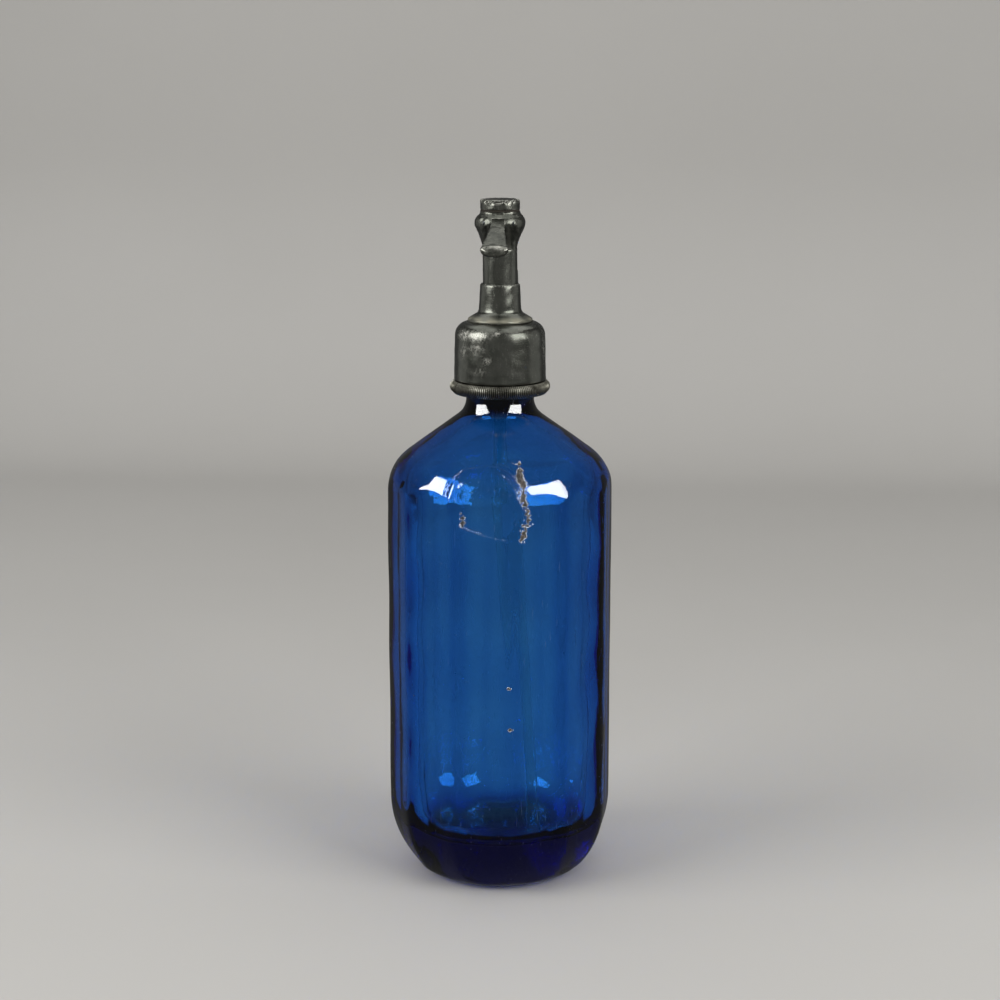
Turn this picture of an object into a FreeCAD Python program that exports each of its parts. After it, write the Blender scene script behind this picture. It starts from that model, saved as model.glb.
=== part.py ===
import FreeCAD, Part
import math
import os
import re
import Sketcher

# Soda siphon: a faceted glass bottle under a pewter valve head.
# Millimetres, Z up, origin at the centre of the foot. The lever points along -Y and the spout along +Y.

doc = FreeCAD.newDocument("SodaSiphon")
sizes = doc.addObject("Spreadsheet::Sheet", "Size")
bodies = []


# Driving dimensions

DIMENSIONS = {
    # Glass bottle, outside
    "body_radius": 50.4,
    "heel_width": 13.6,
    "heel_height": 19.25,
    "foot_round": 16.5,
    "heel_round": 45,
    "foot_width": 12.8,
    "kick_depth": 2.5,
    "shoulder_height": 187.54,
    "shoulder_slope": 35.5,
    "shoulder_round": 22.4,
    "throat_round": 10,
    "neck_radius": 15,
    "bead_radius": 16.6,
    "bead_depth": 6.5,
    "bead_round": 0.8,
    "neck_length": 18.21,
    "panel_count": 12,
    "panel_depth": 1.4,
    "panel_turn": -5,

    # Glass bottle, inside
    "neck_bore": 9,
    "body_wall": 8.9,
    "floor_height": 23,
    "floor_dome": 4,
    "floor_dome_edge": 1.5,
    "floor_round": 10,
    "shoulder_wall": 7.5,
    "cavity_shoulder_round": 15,
    "cavity_throat_round": 8,

    # Dip tube and its gland
    "tube_radius": 3.2,
    "tube_bore": 2,
    "tube_bend_drop": 17.7,
    "tube_bend_round": 40,
    "tube_wall_gap": 7.3,
    "tube_turn": -60.7,
    "tube_floor_gap": 3,
    "tube_insert": 10,
    "boss_radius": 5.6,
    "boss_length": 15.8,
    "gland_gasket_thickness": 3,
    "gland_nut_floor": 2,
    "gland_nut_length": 12,
    "gland_nut_flats": 14,

    # Split ring under the bead
    "ring_radius": 21.4,
    "ring_edge_radius": 20.2,
    "ring_depth": 4.4,
    "ring_ledge_depth": 2.2,
    "ring_grip_bore": 15.5,
    "ring_sleeve_wall": 1.5,
    "ring_sleeve_length": 7,
    "ring_split": 0.3,
    "ring_turn": 30.7,
    "neck_washer_thickness": 1,

    # Bell and valve base
    "bell_gap": 0.4,
    "bell_radius": 20.35,
    "bell_taper": 0.55,
    "bell_height": 25.7,
    "bell_round": 6.1,
    "bell_crown": 3.2,
    "bell_thread_depth": 12,
    "bell_dome_radius": 17,
    "bell_dome_round": 3.5,
    "gasket_thickness": 2.5,
    "flange_radius": 16.3,
    "flange_thickness": 3.5,
    "hub_radius": 12,
    "passage_radius": 2.5,
    "chamber_radius": 5.6,

    # Valve
    "seat_radius": 5,
    "seat_depth": 3,
    "seat_floor": 3,
    "seat_lip": 0.5,
    "seat_lip_radius": 3.4,
    "washer_radius": 4.2,
    "washer_thickness": 3,
    "cup_radius": 4.6,
    "cup_skirt": 2,
    "cup_crown": 3,
    "screw_radius": 1,
    "screw_head_radius": 1.9,
    "screw_head_depth": 0.8,
    "screw_length": 4.2,
    "stem_radius": 2,
    "stem_spigot_radius": 1.4,
    "stem_spigot_length": 1.5,

    # Standpipe
    "tail_radius": 8.9,
    "tail_length": 8.7,
    "waterway_radius": 5,
    "socket_flange_radius": 14.3,
    "socket_flange_depth": 1.2,
    "socket_waist_radius": 9.4,
    "socket_waist_height": 4.3,
    "socket_waist_round": 2.6,
    "socket_radius": 8.8,
    "socket_height": 16.8,
    "socket_edge": 0.6,
    "pipe_radius": 7.6,
    "pipe_seat": 0.4,
    "pipe_length": 31,
    "pipe_ledge": 2,
    "spigot_radius": 6.6,
    "spigot_length": 4,
    "packing_radius": 4.8,
    "packing_thickness": 3,
    "packing_nut_shank": 1.2,
    "packing_nut_head": 2.2,
    "packing_nut_flats": 9.4,

    # Valve head
    "head_height": 16.8,
    "head_foot_radius": 7.75,
    "head_foot_height": 1.8,
    "head_foot_round": 6,
    "bulb_radius": 11.25,
    "bulb_height": 12,
    "bulb_round": 2.2,
    "bulb_shoulder": 0.6,
    "bulb_shoulder_round": 1,
    "cap_radius": 8.7,
    "cap_depth": 4.4,
    "cap_round": 1.2,
    "cap_stub_radius": 6.4,
    "cap_stub_length": 3.7,
    "cap_hollow_radius": 5.3,
    "cap_crown": 1.5,
    "cap_washer_thickness": 0.8,
    "cap_washer_inset": 0.2,

    # Lever, its pin and the stem's crosshead
    "pin_radius": 1,
    "pin_length": 13.6,
    "pivot_reach": 8.3,
    "pivot_drop": 10,
    "lever_hub_radius": 2,
    "lever_hub_width": 4.6,
    "finger_width": 4.2,
    "finger_thickness": 1.4,
    "fingertip_radius": 1.9,
    "slot_width": 6,
    "slot_depth": 7.2,
    "slot_rise": 2.6,
    "crosshead_radius": 4.6,
    "crosshead_drop": 4.4,
    "crosshead_rise": 2.8,
    "plate_thickness": 0.5,
    "spring_radius": 3.9,
    "spring_wire": 0.35,
    "spring_turns": 3,
    "arm_root_thickness": 3.6,
    "arm_reach": 25.7,
    "arm_slope": 22.5,
    "arm_width": 12.8,
    "arm_lip_depth": 5.9,
    "arm_plate_width": 10.6,
    "arm_plate_depth": 4.2,
    "arm_end_taper": 0.6,
    "arm_thumb_start": 0.8,
    "arm_lip_start": 0.9,

    # Spout
    "spout_radius": 4.4,
    "spout_bore": 2.25,
    "spout_root_drop": 12,
    "spout_crest_reach": 18,
    "spout_crest_rise": 4.5,
    "spout_crown_length": 17,
    "spout_crown_fall": 3,
    "spout_mouth_reach": 6,
    "spout_mouth_fall": 21.5,
    "spout_round": 12.5,
    "tip_wall": 0.75,
    "tip_sleeve": 7,
    "tip_lip": 2,
    "tip_round": 0.4,

    # Fits: radial clearance between pieces that screw, slide or press together
    "thread_clearance": 0.2,
    "running_clearance": 0.05,
    "close_clearance": 0.02,
    "washer_clearance": 0.1,
    "slot_clearance": 0.2,
    "cut_margin": 3,
}

for row, (alias, value) in enumerate(DIMENSIONS.items(), 1):
    sizes.set("A%d" % row, str(value))
    sizes.setAlias("A%d" % row, alias)

doc.recompute()


def bound(text):
    """Write an expression in terms of the sheet, for binding to a property."""
    return re.sub(r"[a-z][a-z_]*[a-z]", lambda word: "Size." + word[0] if word[0] in DIMENSIONS else word[0], text)


def number(text):
    """Work out an expression's present value, which the first drawing of a sketch needs."""
    return float(sizes.evalExpression(text))


# Places that several pieces share, as heights above the foot or as radii

FOOT_CORNER = "(body_radius - heel_width)"
KICK_RADIUS = "(%s - foot_width)" % FOOT_CORNER
CAVITY_RADIUS = "(body_radius - body_wall)"
CONE_RISE = "tan(shoulder_slope * 1deg)"
NECK_CORNER = "(shoulder_height + (body_radius - neck_radius) * %s)" % CONE_RISE
INNER_CONE = "(shoulder_height - shoulder_wall / cos(shoulder_slope * 1deg))"
CAVITY_SHOULDER = "(%s + body_wall * %s)" % (INNER_CONE, CONE_RISE)
CAVITY_THROAT = "(%s + (body_radius - neck_bore) * %s)" % (INNER_CONE, CONE_RISE)
BOTTLE_TOP = "(%s + neck_length)" % NECK_CORNER
BEAD_FOOT = "(%s - bead_depth)" % BOTTLE_TOP

RING_LEDGE = "(%s - washer_clearance - neck_washer_thickness)" % BEAD_FOOT
RING_FOOT = "(%s - ring_ledge_depth)" % RING_LEDGE
RING_TOP = "(%s + ring_depth)" % RING_FOOT
SLEEVE_BORE = "(bead_radius + thread_clearance + washer_clearance)"
SLEEVE_RADIUS = "(%s + ring_sleeve_wall)" % SLEEVE_BORE

BELL_FOOT = "(%s + bell_gap)" % RING_TOP
BELL_TOP = "(%s + bell_height)" % BELL_FOOT
BELL_CEILING = "(%s - bell_crown)" % BELL_TOP
FLANGE_FOOT = "(%s + gasket_thickness)" % BOTTLE_TOP
FLANGE_TOP = "(%s + flange_thickness)" % FLANGE_FOOT
BOSS_FOOT = "(%s - boss_length)" % FLANGE_FOOT
TUBE_SOCKET_TOP = "(%s + tube_insert + running_clearance)" % BOSS_FOOT
TUBE_TOP = "(%s + tube_insert)" % BOSS_FOOT
GLAND_GASKET_FOOT = "(%s - gland_gasket_thickness)" % BOSS_FOOT
GLAND_NUT_FOOT = "(%s - gland_nut_floor)" % GLAND_GASKET_FOOT
TUBE_BEND = "(%s - tube_bend_drop)" % GLAND_NUT_FOOT
TUBE_REACH = "(%s - tube_wall_gap)" % CAVITY_RADIUS

SEAT_FOOT = "(%s + seat_floor)" % FLANGE_FOOT
SEAT_TOP = "(%s + seat_depth)" % SEAT_FOOT
VALVE_FOOT = "(%s + seat_lip)" % SEAT_TOP
CUP_FOOT = "(%s + washer_thickness - cup_skirt)" % VALVE_FOOT
CUP_FLOOR = "(%s + washer_thickness)" % VALVE_FOOT
CUP_TOP = "(%s + cup_crown)" % CUP_FLOOR

TAIL_FOOT = "(%s - tail_length)" % BELL_TOP
SOCKET_TOP = "(%s + socket_height)" % BELL_TOP
PIPE_FOOT = "(%s + pipe_seat)" % BELL_TOP
PIPE_TOP = "(%s + pipe_length)" % PIPE_FOOT
SPIGOT_TOP = "(%s + spigot_length)" % PIPE_TOP
PACKING_TOP = "(%s + packing_thickness)" % PIPE_TOP
PACKING_SHANK_TOP = "(%s + packing_nut_shank)" % PACKING_TOP

HEAD_TOP = "(%s + head_height)" % PIPE_TOP
CAP_FOOT = "(%s + cap_washer_thickness)" % HEAD_TOP
CAP_TOP = "(%s + cap_depth)" % CAP_FOOT
CAP_CEILING = "(%s - cap_crown)" % CAP_TOP
STUB_FOOT = "(%s - cap_stub_length)" % CAP_FOOT
PIVOT_HEIGHT = "(%s - pivot_drop)" % CAP_TOP
CROSSHEAD_FOOT = "(%s - crosshead_drop)" % PIVOT_HEIGHT
CROSSHEAD_TOP = "(%s + crosshead_rise)" % PIVOT_HEIGHT
SLOT_HALF = "(fingertip_radius + washer_clearance)"
PLATE_TOP = "(%s + plate_thickness)" % CROSSHEAD_TOP

SPOUT_ROOT = "(%s - spout_root_drop)" % PIPE_TOP
SPOUT_CREST = "(%s + spout_crest_rise)" % PIPE_TOP
SPOUT_CROWN_REACH = "(spout_crest_reach + spout_crown_length)"
SPOUT_CROWN = "(%s - spout_crown_fall)" % SPOUT_CREST
SPOUT_END_REACH = "(%s + spout_mouth_reach)" % SPOUT_CROWN_REACH
SPOUT_END = "(%s - spout_mouth_fall)" % SPOUT_CROWN


# Drawing helpers

def corner(across, up, rounding=None, bow=None, side=1):
    """One corner of an outline: its place, the radius that rounds it, or the radius that bows the edge before it."""
    return {"across": across, "up": up, "rounding": rounding, "bow": bow, "side": side}


def add_arc(sketch, start, end, centre):
    """Draw an arc and say which of its two ends is the start and which the end of the way along the outline."""
    radius = (start - centre).Length
    first = math.atan2(start.y - centre.y, start.x - centre.x)
    last = math.atan2(end.y - centre.y, end.x - centre.x)
    leftward = (start - centre).cross(end - centre).z > 0
    if not leftward:
        first, last = last, first
    if last < first:
        last += 2 * math.pi
    circle = Part.Circle(centre, FreeCAD.Vector(0, 0, 1), radius)
    index = sketch.addGeometry(Part.ArcOfCircle(circle, first, last), False)
    return (index, 1, 2) if leftward else (index, 2, 1)


class Rules:
    """The constraints of one sketch, with the expressions that drive them."""

    def __init__(self, sketch):
        self.sketch = sketch
        self.constraints = []
        self.expressions = {}

    def add(self, *parts):
        self.constraints.append(Sketcher.Constraint(*parts))

    def drive(self, text, *parts):
        """Add a dimension and bind it; a negative one is measured the other way round."""
        value = number(text)
        if value < 0:
            kind, geometry, end, other, other_end = parts
            parts = (kind, other, other_end, geometry, end)
            text = "-(%s)" % text
        self.expressions[len(self.constraints)] = bound(text)
        self.add(*parts, abs(value))

    def place(self, geometry, end, across, up):
        """Fix a point by its two distances from the origin."""
        for text, kind, axis in ((across, "DistanceX", -2), (up, "DistanceY", -1)):
            if text == "0":
                self.add("PointOnObject", geometry, end, axis)
            else:
                self.drive(text, kind, -1, 1, geometry, end)

    def apply(self):
        self.sketch.addConstraint(self.constraints)
        for index, text in self.expressions.items():
            self.sketch.setExpression("Constraints[%d]" % index, text)


def draw_path(sketch, corners, closed):
    """Draw straight or bowed edges through the corners, with rounded corners as tangent arcs."""
    count = len(corners)
    points = [FreeCAD.Vector(number(one["across"]), number(one["up"]), 0) for one in corners]
    arrivals = list(points)
    departures = list(points)
    middles = {}
    for index, one in enumerate(corners):
        if one["rounding"]:
            before = (points[index - 1] - points[index]).normalize()
            after = (points[(index + 1) % count] - points[index]).normalize()
            radius = number(one["rounding"])
            half = before.getAngle(after) / 2
            arrivals[index] = points[index] + before * (radius / math.tan(half))
            departures[index] = points[index] + after * (radius / math.tan(half))
            middles[index] = points[index] + (before + after).normalize() * (radius / math.sin(half))

    rules = Rules(sketch)
    leaving = {}
    arriving = {}
    for index in range(count if closed else count - 1):
        target = (index + 1) % count
        start = departures[index]
        end = arrivals[target]
        bow = corners[target]["bow"]
        if bow:
            chord = end - start
            rise = math.sqrt(number(bow) ** 2 - (chord.Length / 2) ** 2)
            left = FreeCAD.Vector(-chord.y, chord.x, 0).normalize()
            centre = (start + end) * 0.5 + left * (rise * corners[target]["side"])
            edge = add_arc(sketch, start, end, centre)
            rules.drive(bow, "Radius", edge[0])
        else:
            edge = (sketch.addGeometry(Part.LineSegment(start, end), False), 1, 2)
        leaving[index] = (edge[0], edge[1])
        arriving[target] = (edge[0], edge[2])

    for index, one in enumerate(corners):
        if index in middles:
            arc = add_arc(sketch, arrivals[index], departures[index], middles[index])
            rules.add("Tangent", *arriving[index], arc[0], arc[1])
            rules.add("Tangent", arc[0], arc[2], *leaving[index])
            rules.drive(one["rounding"], "Radius", arc[0])
            pole = sketch.addGeometry(Part.Point(points[index]), True)
            rules.add("PointOnObject", pole, 1, arriving[index][0])
            rules.add("PointOnObject", pole, 1, leaving[index][0])
            rules.place(pole, 1, one["across"], one["up"])
            continue
        if index in arriving and index in leaving:
            rules.add("Coincident", *arriving[index], *leaving[index])
        anchor = leaving[index] if index in leaving else arriving[index]
        rules.place(*anchor, one["across"], one["up"])
    rules.apply()


def draw_circle(sketch, across, up, radius):
    """Draw one circle, placed and sized by expressions."""
    centre = FreeCAD.Vector(number(across), number(up), 0)
    circle = Part.Circle(centre, FreeCAD.Vector(0, 0, 1), number(radius))
    index = sketch.addGeometry(circle, False)
    rules = Rules(sketch)
    rules.place(index, 3, across, up)
    rules.drive(radius, "Radius", index)
    rules.apply()


def new_body(label):
    """Start one sub-part."""
    body = doc.addObject("PartDesign::Body", label)
    body.Label = label
    bodies.append(body)
    return body


def new_sketch(body, name, plane, offset=None):
    """Start a sketch on one of the body's own origin planes, moved along the plane's normal by an expression."""
    sketch = body.newObject("Sketcher::SketchObject", name)
    support = [one for one in body.Origin.OriginFeatures if one.Role == plane][0]
    sketch.AttachmentSupport = (support, [""])
    sketch.MapMode = "FlatFace"
    if offset:
        sketch.setExpression("AttachmentOffset.Base.z", bound(offset))
    return sketch


def turn_profile(body, name, corners, feature="PartDesign::Revolution"):
    """Turn a closed half section about the body's own Z axis."""
    sketch = new_sketch(body, name + "_half_section", "XZ_Plane")
    draw_path(sketch, corners, True)
    turning = body.newObject(feature, name + "_turning")
    turning.Profile = sketch
    turning.ReferenceAxis = (sketch, ["V_Axis"])
    turning.Angle = 360
    return turning


def turned(label, corners):
    """A sub-part that is all lathe work."""
    body = new_body(label)
    turn_profile(body, label, corners)
    return body


def ring(label, inner, outer, foot, top):
    """A plain washer, gasket or bush."""
    return turned(label, [corner(inner, foot), corner(outer, foot), corner(outer, top), corner(inner, top)])


def extrude(body, name, sketch, length, feature="PartDesign::Pad", both_ways=True, backwards=False):
    """Pad or pocket a sketch, by an expression for its length, evenly to both sides unless told otherwise."""
    extrusion = body.newObject(feature, name)
    extrusion.Profile = sketch
    extrusion.setExpression("Length", bound(length))
    extrusion.SideType = "Symmetric" if both_ways else "One side"
    extrusion.Reversed = backwards
    return extrusion


def cross_bar(body, name, corners, width, feature="PartDesign::Pad"):
    """Pad or pocket an outline seen from the side, across the body's X direction."""
    sketch = new_sketch(body, name + "_side_view", "YZ_Plane")
    draw_path(sketch, corners, True)
    return extrude(body, name, sketch, width, feature)


def cross_round(body, name, reach, height, radius, width, feature="PartDesign::Pad"):
    """Pad or pocket a circle seen from the side, across the body's X direction."""
    sketch = new_sketch(body, name + "_side_view", "YZ_Plane")
    draw_circle(sketch, reach, height, radius)
    return extrude(body, name, sketch, width, feature)


def hexagon(body, name, flats, foot, length):
    """Pad a hexagon from its foot upwards."""
    sketch = new_sketch(body, name + "_plan", "XY_Plane", foot)
    across = "(%s / (2 * cos(30deg)))" % flats
    corners = []
    for step in range(6):
        angle = "%ddeg" % (60 * step)
        corners.append(corner("%s * cos(%s)" % (across, angle), "%s * sin(%s)" % (across, angle)))
        if step in (0, 3):
            corners[-1]["up"] = "0"
    draw_path(sketch, corners, True)
    return extrude(body, name, sketch, length, both_ways=False)


def pipe(body, name, plane, path, radius, feature="PartDesign::AdditivePipe"):
    """Carry a circle along a path of straight runs and tangent arcs."""
    spine = new_sketch(body, name + "_path", plane)
    draw_path(spine, path, False)
    section = body.newObject("Sketcher::SketchObject", name + "_section")
    section.AttachmentSupport = [(spine, "Edge1")]
    section.MapMode = "NormalToEdge"
    section.MapPathParameter = 0
    draw_circle(section, "0", "0", radius)
    carried = body.newObject(feature, name)
    carried.Profile = section
    carried.Spine = (spine, [])
    return carried


def spin_about_z(body, angle):
    """Turn a finished sub-part about the siphon's axis, by an expression in degrees."""
    body.Placement = FreeCAD.Placement(FreeCAD.Vector(), FreeCAD.Rotation(FreeCAD.Vector(0, 0, 1), number(angle)))
    body.setExpression("Placement.Rotation.Angle", bound("(%s) * 1deg" % angle))


# Sub-parts

def make_glass_bottle():
    """Thick bottle, turned in one outline inside and out, with flats cut down its side and under its heel."""
    body = new_body("glass_bottle")
    kick_bow = "(%s ^ 2 + kick_depth ^ 2) / (2 * kick_depth)" % KICK_RADIUS
    dome_edge = "(%s - floor_round - floor_dome_edge)" % CAVITY_RADIUS
    dome_bow = "(%s ^ 2 + floor_dome ^ 2) / (2 * floor_dome)" % dome_edge
    turn_profile(body, "glass_bottle", [
        corner("0", "kick_depth"),
        corner(KICK_RADIUS, "0", bow=kick_bow, side=-1),
        corner(FOOT_CORNER, "0", "foot_round"),
        corner("body_radius", "heel_height", "heel_round"),
        corner("body_radius", "shoulder_height", "shoulder_round"),
        corner("neck_radius", NECK_CORNER, "throat_round"),
        corner("neck_radius", BEAD_FOOT),
        corner("bead_radius", BEAD_FOOT, "bead_round"),
        corner("bead_radius", BOTTLE_TOP, "bead_round"),
        corner("neck_bore", BOTTLE_TOP, "bead_round"),
        corner("neck_bore", CAVITY_THROAT, "cavity_throat_round"),
        corner(CAVITY_RADIUS, CAVITY_SHOULDER, "cavity_shoulder_round"),
        corner(CAVITY_RADIUS, "floor_height", "floor_round"),
        corner(dome_edge, "floor_height"),
        corner("0", "floor_height + floor_dome", bow=dome_bow, side=1),
    ])
    flat_radius = "(body_radius - panel_depth)"
    flat_foot = "(%s * %s / body_radius)" % (FOOT_CORNER, flat_radius)
    flat_run = "(%s - cut_margin * (%s - %s) / heel_height)" % (flat_foot, flat_radius, flat_foot)
    outside = "(body_radius + cut_margin)"
    panel = new_sketch(body, "panel_side_view", "XZ_Plane")
    draw_path(panel, [
        corner(flat_radius, "shoulder_height"),
        corner(flat_radius, "heel_height", "heel_round"),
        corner(flat_run, "-cut_margin"),
        corner(outside, "-cut_margin"),
        corner(outside, "shoulder_height"),
    ], True)
    doc.recompute()
    flat = extrude(body, "panel_flat", panel, "body_radius", "PartDesign::Pocket")
    doc.recompute()
    pattern = body.newObject("PartDesign::PolarPattern", "panel_flats")
    pattern.Originals = [flat]
    pattern.Axis = (panel, ["V_Axis"])
    pattern.Angle = 360
    pattern.setExpression("Occurrences", bound("panel_count"))
    body.Tip = pattern
    spin_about_z(body, "panel_turn")


def make_dip_tube():
    """Glass tube: upright in its gland, then one gentle bend and straight to a corner of the floor."""
    body = new_body("dip_tube")
    path = [
        corner("0", TUBE_TOP),
        corner("0", TUBE_BEND, "tube_bend_round"),
        corner(TUBE_REACH, "floor_height + tube_floor_gap"),
    ]
    pipe(body, "dip_tube_wall", "XZ_Plane", path, "tube_radius")
    doc.recompute()
    pipe(body, "dip_tube_hole", "XZ_Plane", path, "tube_bore", "PartDesign::SubtractivePipe")
    spin_about_z(body, "tube_turn")


def make_tube_nut():
    """Hexagon nut that squeezes the tube gasket against the boss."""
    body = new_body("tube_nut")
    hexagon(body, "tube_nut_hexagon", "gland_nut_flats", GLAND_NUT_FOOT, "gland_nut_length")
    doc.recompute()
    hole = "(tube_radius + washer_clearance)"
    thread = "(boss_radius + washer_clearance)"
    end = "(%s + gland_nut_length + cut_margin)" % GLAND_NUT_FOOT
    turn_profile(body, "tube_nut_bore", [
        corner("0", "%s - cut_margin" % GLAND_NUT_FOOT),
        corner(hole, "%s - cut_margin" % GLAND_NUT_FOOT),
        corner(hole, GLAND_GASKET_FOOT),
        corner(thread, GLAND_GASKET_FOOT),
        corner(thread, end),
        corner("0", end),
    ], "PartDesign::Groove")


def make_split_ring():
    """Rounded grip ring in two halves, with a ledge under the bead washer and a threaded sleeve above."""
    bow = "((ring_depth / 2) ^ 2 + (ring_radius - ring_edge_radius) ^ 2) / (2 * (ring_radius - ring_edge_radius))"
    sleeve_top = "(%s + ring_sleeve_length)" % RING_TOP
    for label, half_turn in (("ring_half_back", "ring_turn"), ("ring_half_front", "ring_turn + 180")):
        body = turned(label, [
            corner("ring_grip_bore", RING_FOOT),
            corner("ring_edge_radius", RING_FOOT),
            corner("ring_edge_radius", RING_TOP, bow=bow, side=1),
            corner(SLEEVE_RADIUS, RING_TOP),
            corner(SLEEVE_RADIUS, sleeve_top),
            corner(SLEEVE_BORE, sleeve_top),
            corner(SLEEVE_BORE, RING_LEDGE),
            corner("ring_grip_bore", RING_LEDGE),
        ])
        doc.recompute()
        reach = "(ring_radius + cut_margin)"
        saw = new_sketch(body, label + "_saw_plan", "XY_Plane", "%s + ring_sleeve_length + cut_margin" % RING_TOP)
        draw_path(saw, [
            corner("-" + reach, "-" + reach),
            corner(reach, "-" + reach),
            corner(reach, "ring_split / 2"),
            corner("-" + reach, "ring_split / 2"),
        ], True)
        depth = "ring_depth + ring_sleeve_length + 2 * cut_margin"
        extrude(body, label + "_saw_cut", saw, depth, "PartDesign::Pocket", both_ways=False)
        spin_about_z(body, half_turn)


def make_bell_cap():
    """Bell that screws onto the split ring and holds the valve base down on the bottle's lip."""
    top_radius = "(bell_radius - bell_taper)"
    thread_bore = "(%s + thread_clearance)" % SLEEVE_RADIUS
    thread_top = "(%s + bell_thread_depth)" % BELL_FOOT
    hole = "(tail_radius + washer_clearance)"
    turned("bell_cap", [
        corner(thread_bore, BELL_FOOT),
        corner("bell_radius", BELL_FOOT),
        corner(top_radius, BELL_TOP, "bell_round"),
        corner(hole, BELL_TOP),
        corner(hole, BELL_CEILING),
        corner("bell_dome_radius", BELL_CEILING, "bell_dome_round"),
        corner("bell_dome_radius", thread_top),
        corner(thread_bore, thread_top),
    ])


def make_valve_base():
    """Flanged base: boss down the neck for the dip tube, pocket for the seat, hub up to the bell's crown."""
    tube_socket = "(tube_radius + running_clearance)"
    seat_pocket = "(seat_radius + close_clearance)"
    tail_bore = "(tail_radius + running_clearance)"
    turned("valve_base", [
        corner(tube_socket, BOSS_FOOT),
        corner("boss_radius", BOSS_FOOT),
        corner("boss_radius", FLANGE_FOOT),
        corner("flange_radius", FLANGE_FOOT),
        corner("flange_radius", FLANGE_TOP),
        corner("hub_radius", FLANGE_TOP),
        corner("hub_radius", BELL_CEILING),
        corner(tail_bore, BELL_CEILING),
        corner(tail_bore, TAIL_FOOT),
        corner("chamber_radius", TAIL_FOOT),
        corner("chamber_radius", SEAT_TOP),
        corner(seat_pocket, SEAT_TOP),
        corner(seat_pocket, SEAT_FOOT),
        corner("passage_radius", SEAT_FOOT),
        corner("passage_radius", TUBE_SOCKET_TOP),
        corner(tube_socket, TUBE_SOCKET_TOP),
    ])


def make_seat_insert():
    """Valve seat with a narrow raised lip that the rubber closes on."""
    turned("seat_insert", [
        corner("passage_radius", SEAT_FOOT),
        corner("seat_radius", SEAT_FOOT),
        corner("seat_radius", SEAT_TOP),
        corner("seat_lip_radius", SEAT_TOP),
        corner("seat_lip_radius - seat_lip / 2", VALVE_FOOT),
        corner("passage_radius", VALVE_FOOT),
    ])


def make_valve_cup():
    """Cup on the stem's foot that holds the valve washer."""
    screw_hole = "(screw_radius + close_clearance)"
    spigot_hole = "(stem_spigot_radius + close_clearance)"
    spigot_foot = "(%s - stem_spigot_length)" % CUP_TOP
    recess = "(washer_radius + running_clearance)"
    turned("valve_cup", [
        corner(recess, CUP_FOOT),
        corner("cup_radius", CUP_FOOT),
        corner("cup_radius", CUP_TOP),
        corner(spigot_hole, CUP_TOP),
        corner(spigot_hole, spigot_foot),
        corner(screw_hole, spigot_foot),
        corner(screw_hole, CUP_FLOOR),
        corner(recess, CUP_FLOOR),
    ])


def make_washer_screw():
    """Slotted screw that clamps the valve washer in its cup."""
    body = turned("washer_screw", [
        corner("0", "%s - screw_head_depth" % VALVE_FOOT),
        corner("screw_head_radius", "%s - screw_head_depth" % VALVE_FOOT),
        corner("screw_head_radius", VALVE_FOOT),
        corner("screw_radius", VALVE_FOOT),
        corner("screw_radius", "%s + screw_length" % VALVE_FOOT),
        corner("0", "%s + screw_length" % VALVE_FOOT),
    ])
    doc.recompute()
    slot_top = "(%s - screw_head_depth / 2)" % VALVE_FOOT
    slot_foot = "(%s - screw_head_depth - cut_margin)" % VALVE_FOOT
    cross_bar(body, "washer_screw_slot", [
        corner("-screw_head_depth / 4", slot_foot),
        corner("screw_head_depth / 4", slot_foot),
        corner("screw_head_depth / 4", slot_top),
        corner("-screw_head_depth / 4", slot_top),
    ], "4 * screw_head_radius", "PartDesign::Pocket")


def make_valve_stem():
    """Long rod from the valve cup up to a slotted crosshead that the lever's finger lifts."""
    body = turned("valve_stem", [
        corner("0", "%s - stem_spigot_length" % CUP_TOP),
        corner("stem_spigot_radius", "%s - stem_spigot_length" % CUP_TOP),
        corner("stem_spigot_radius", CUP_TOP),
        corner("stem_radius", CUP_TOP),
        corner("stem_radius", CROSSHEAD_FOOT),
        corner("crosshead_radius", CROSSHEAD_FOOT),
        corner("crosshead_radius", CROSSHEAD_TOP),
        corner("0", CROSSHEAD_TOP),
    ])
    doc.recompute()
    slot = new_sketch(body, "crosshead_slot_front_view", "XZ_Plane")
    half_width = "(finger_width / 2 + slot_clearance)"
    draw_path(slot, [
        corner("-" + half_width, "%s - %s" % (PIVOT_HEIGHT, SLOT_HALF)),
        corner(half_width, "%s - %s" % (PIVOT_HEIGHT, SLOT_HALF)),
        corner(half_width, "%s + %s" % (PIVOT_HEIGHT, SLOT_HALF)),
        corner("-" + half_width, "%s + %s" % (PIVOT_HEIGHT, SLOT_HALF)),
    ], True)
    extrude(body, "crosshead_slot", slot, "4 * crosshead_radius", "PartDesign::Pocket")


def make_valve_spring():
    """Compression spring between the plate on the crosshead and the roof of the cap."""
    body = new_body("valve_spring")
    section = new_sketch(body, "valve_spring_section", "XZ_Plane")
    draw_circle(section, "spring_radius", "%s + spring_wire" % PLATE_TOP, "spring_wire")
    coil = body.newObject("PartDesign::AdditiveHelix", "valve_spring_coil")
    coil.Profile = section
    coil.ReferenceAxis = (section, ["V_Axis"])
    coil.Mode = "height-turns-angle"
    coil.setExpression("Height", bound("%s - %s - 2 * spring_wire - washer_clearance" % (CAP_CEILING, PLATE_TOP)))
    coil.setExpression("Turns", bound("spring_turns"))


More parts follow.
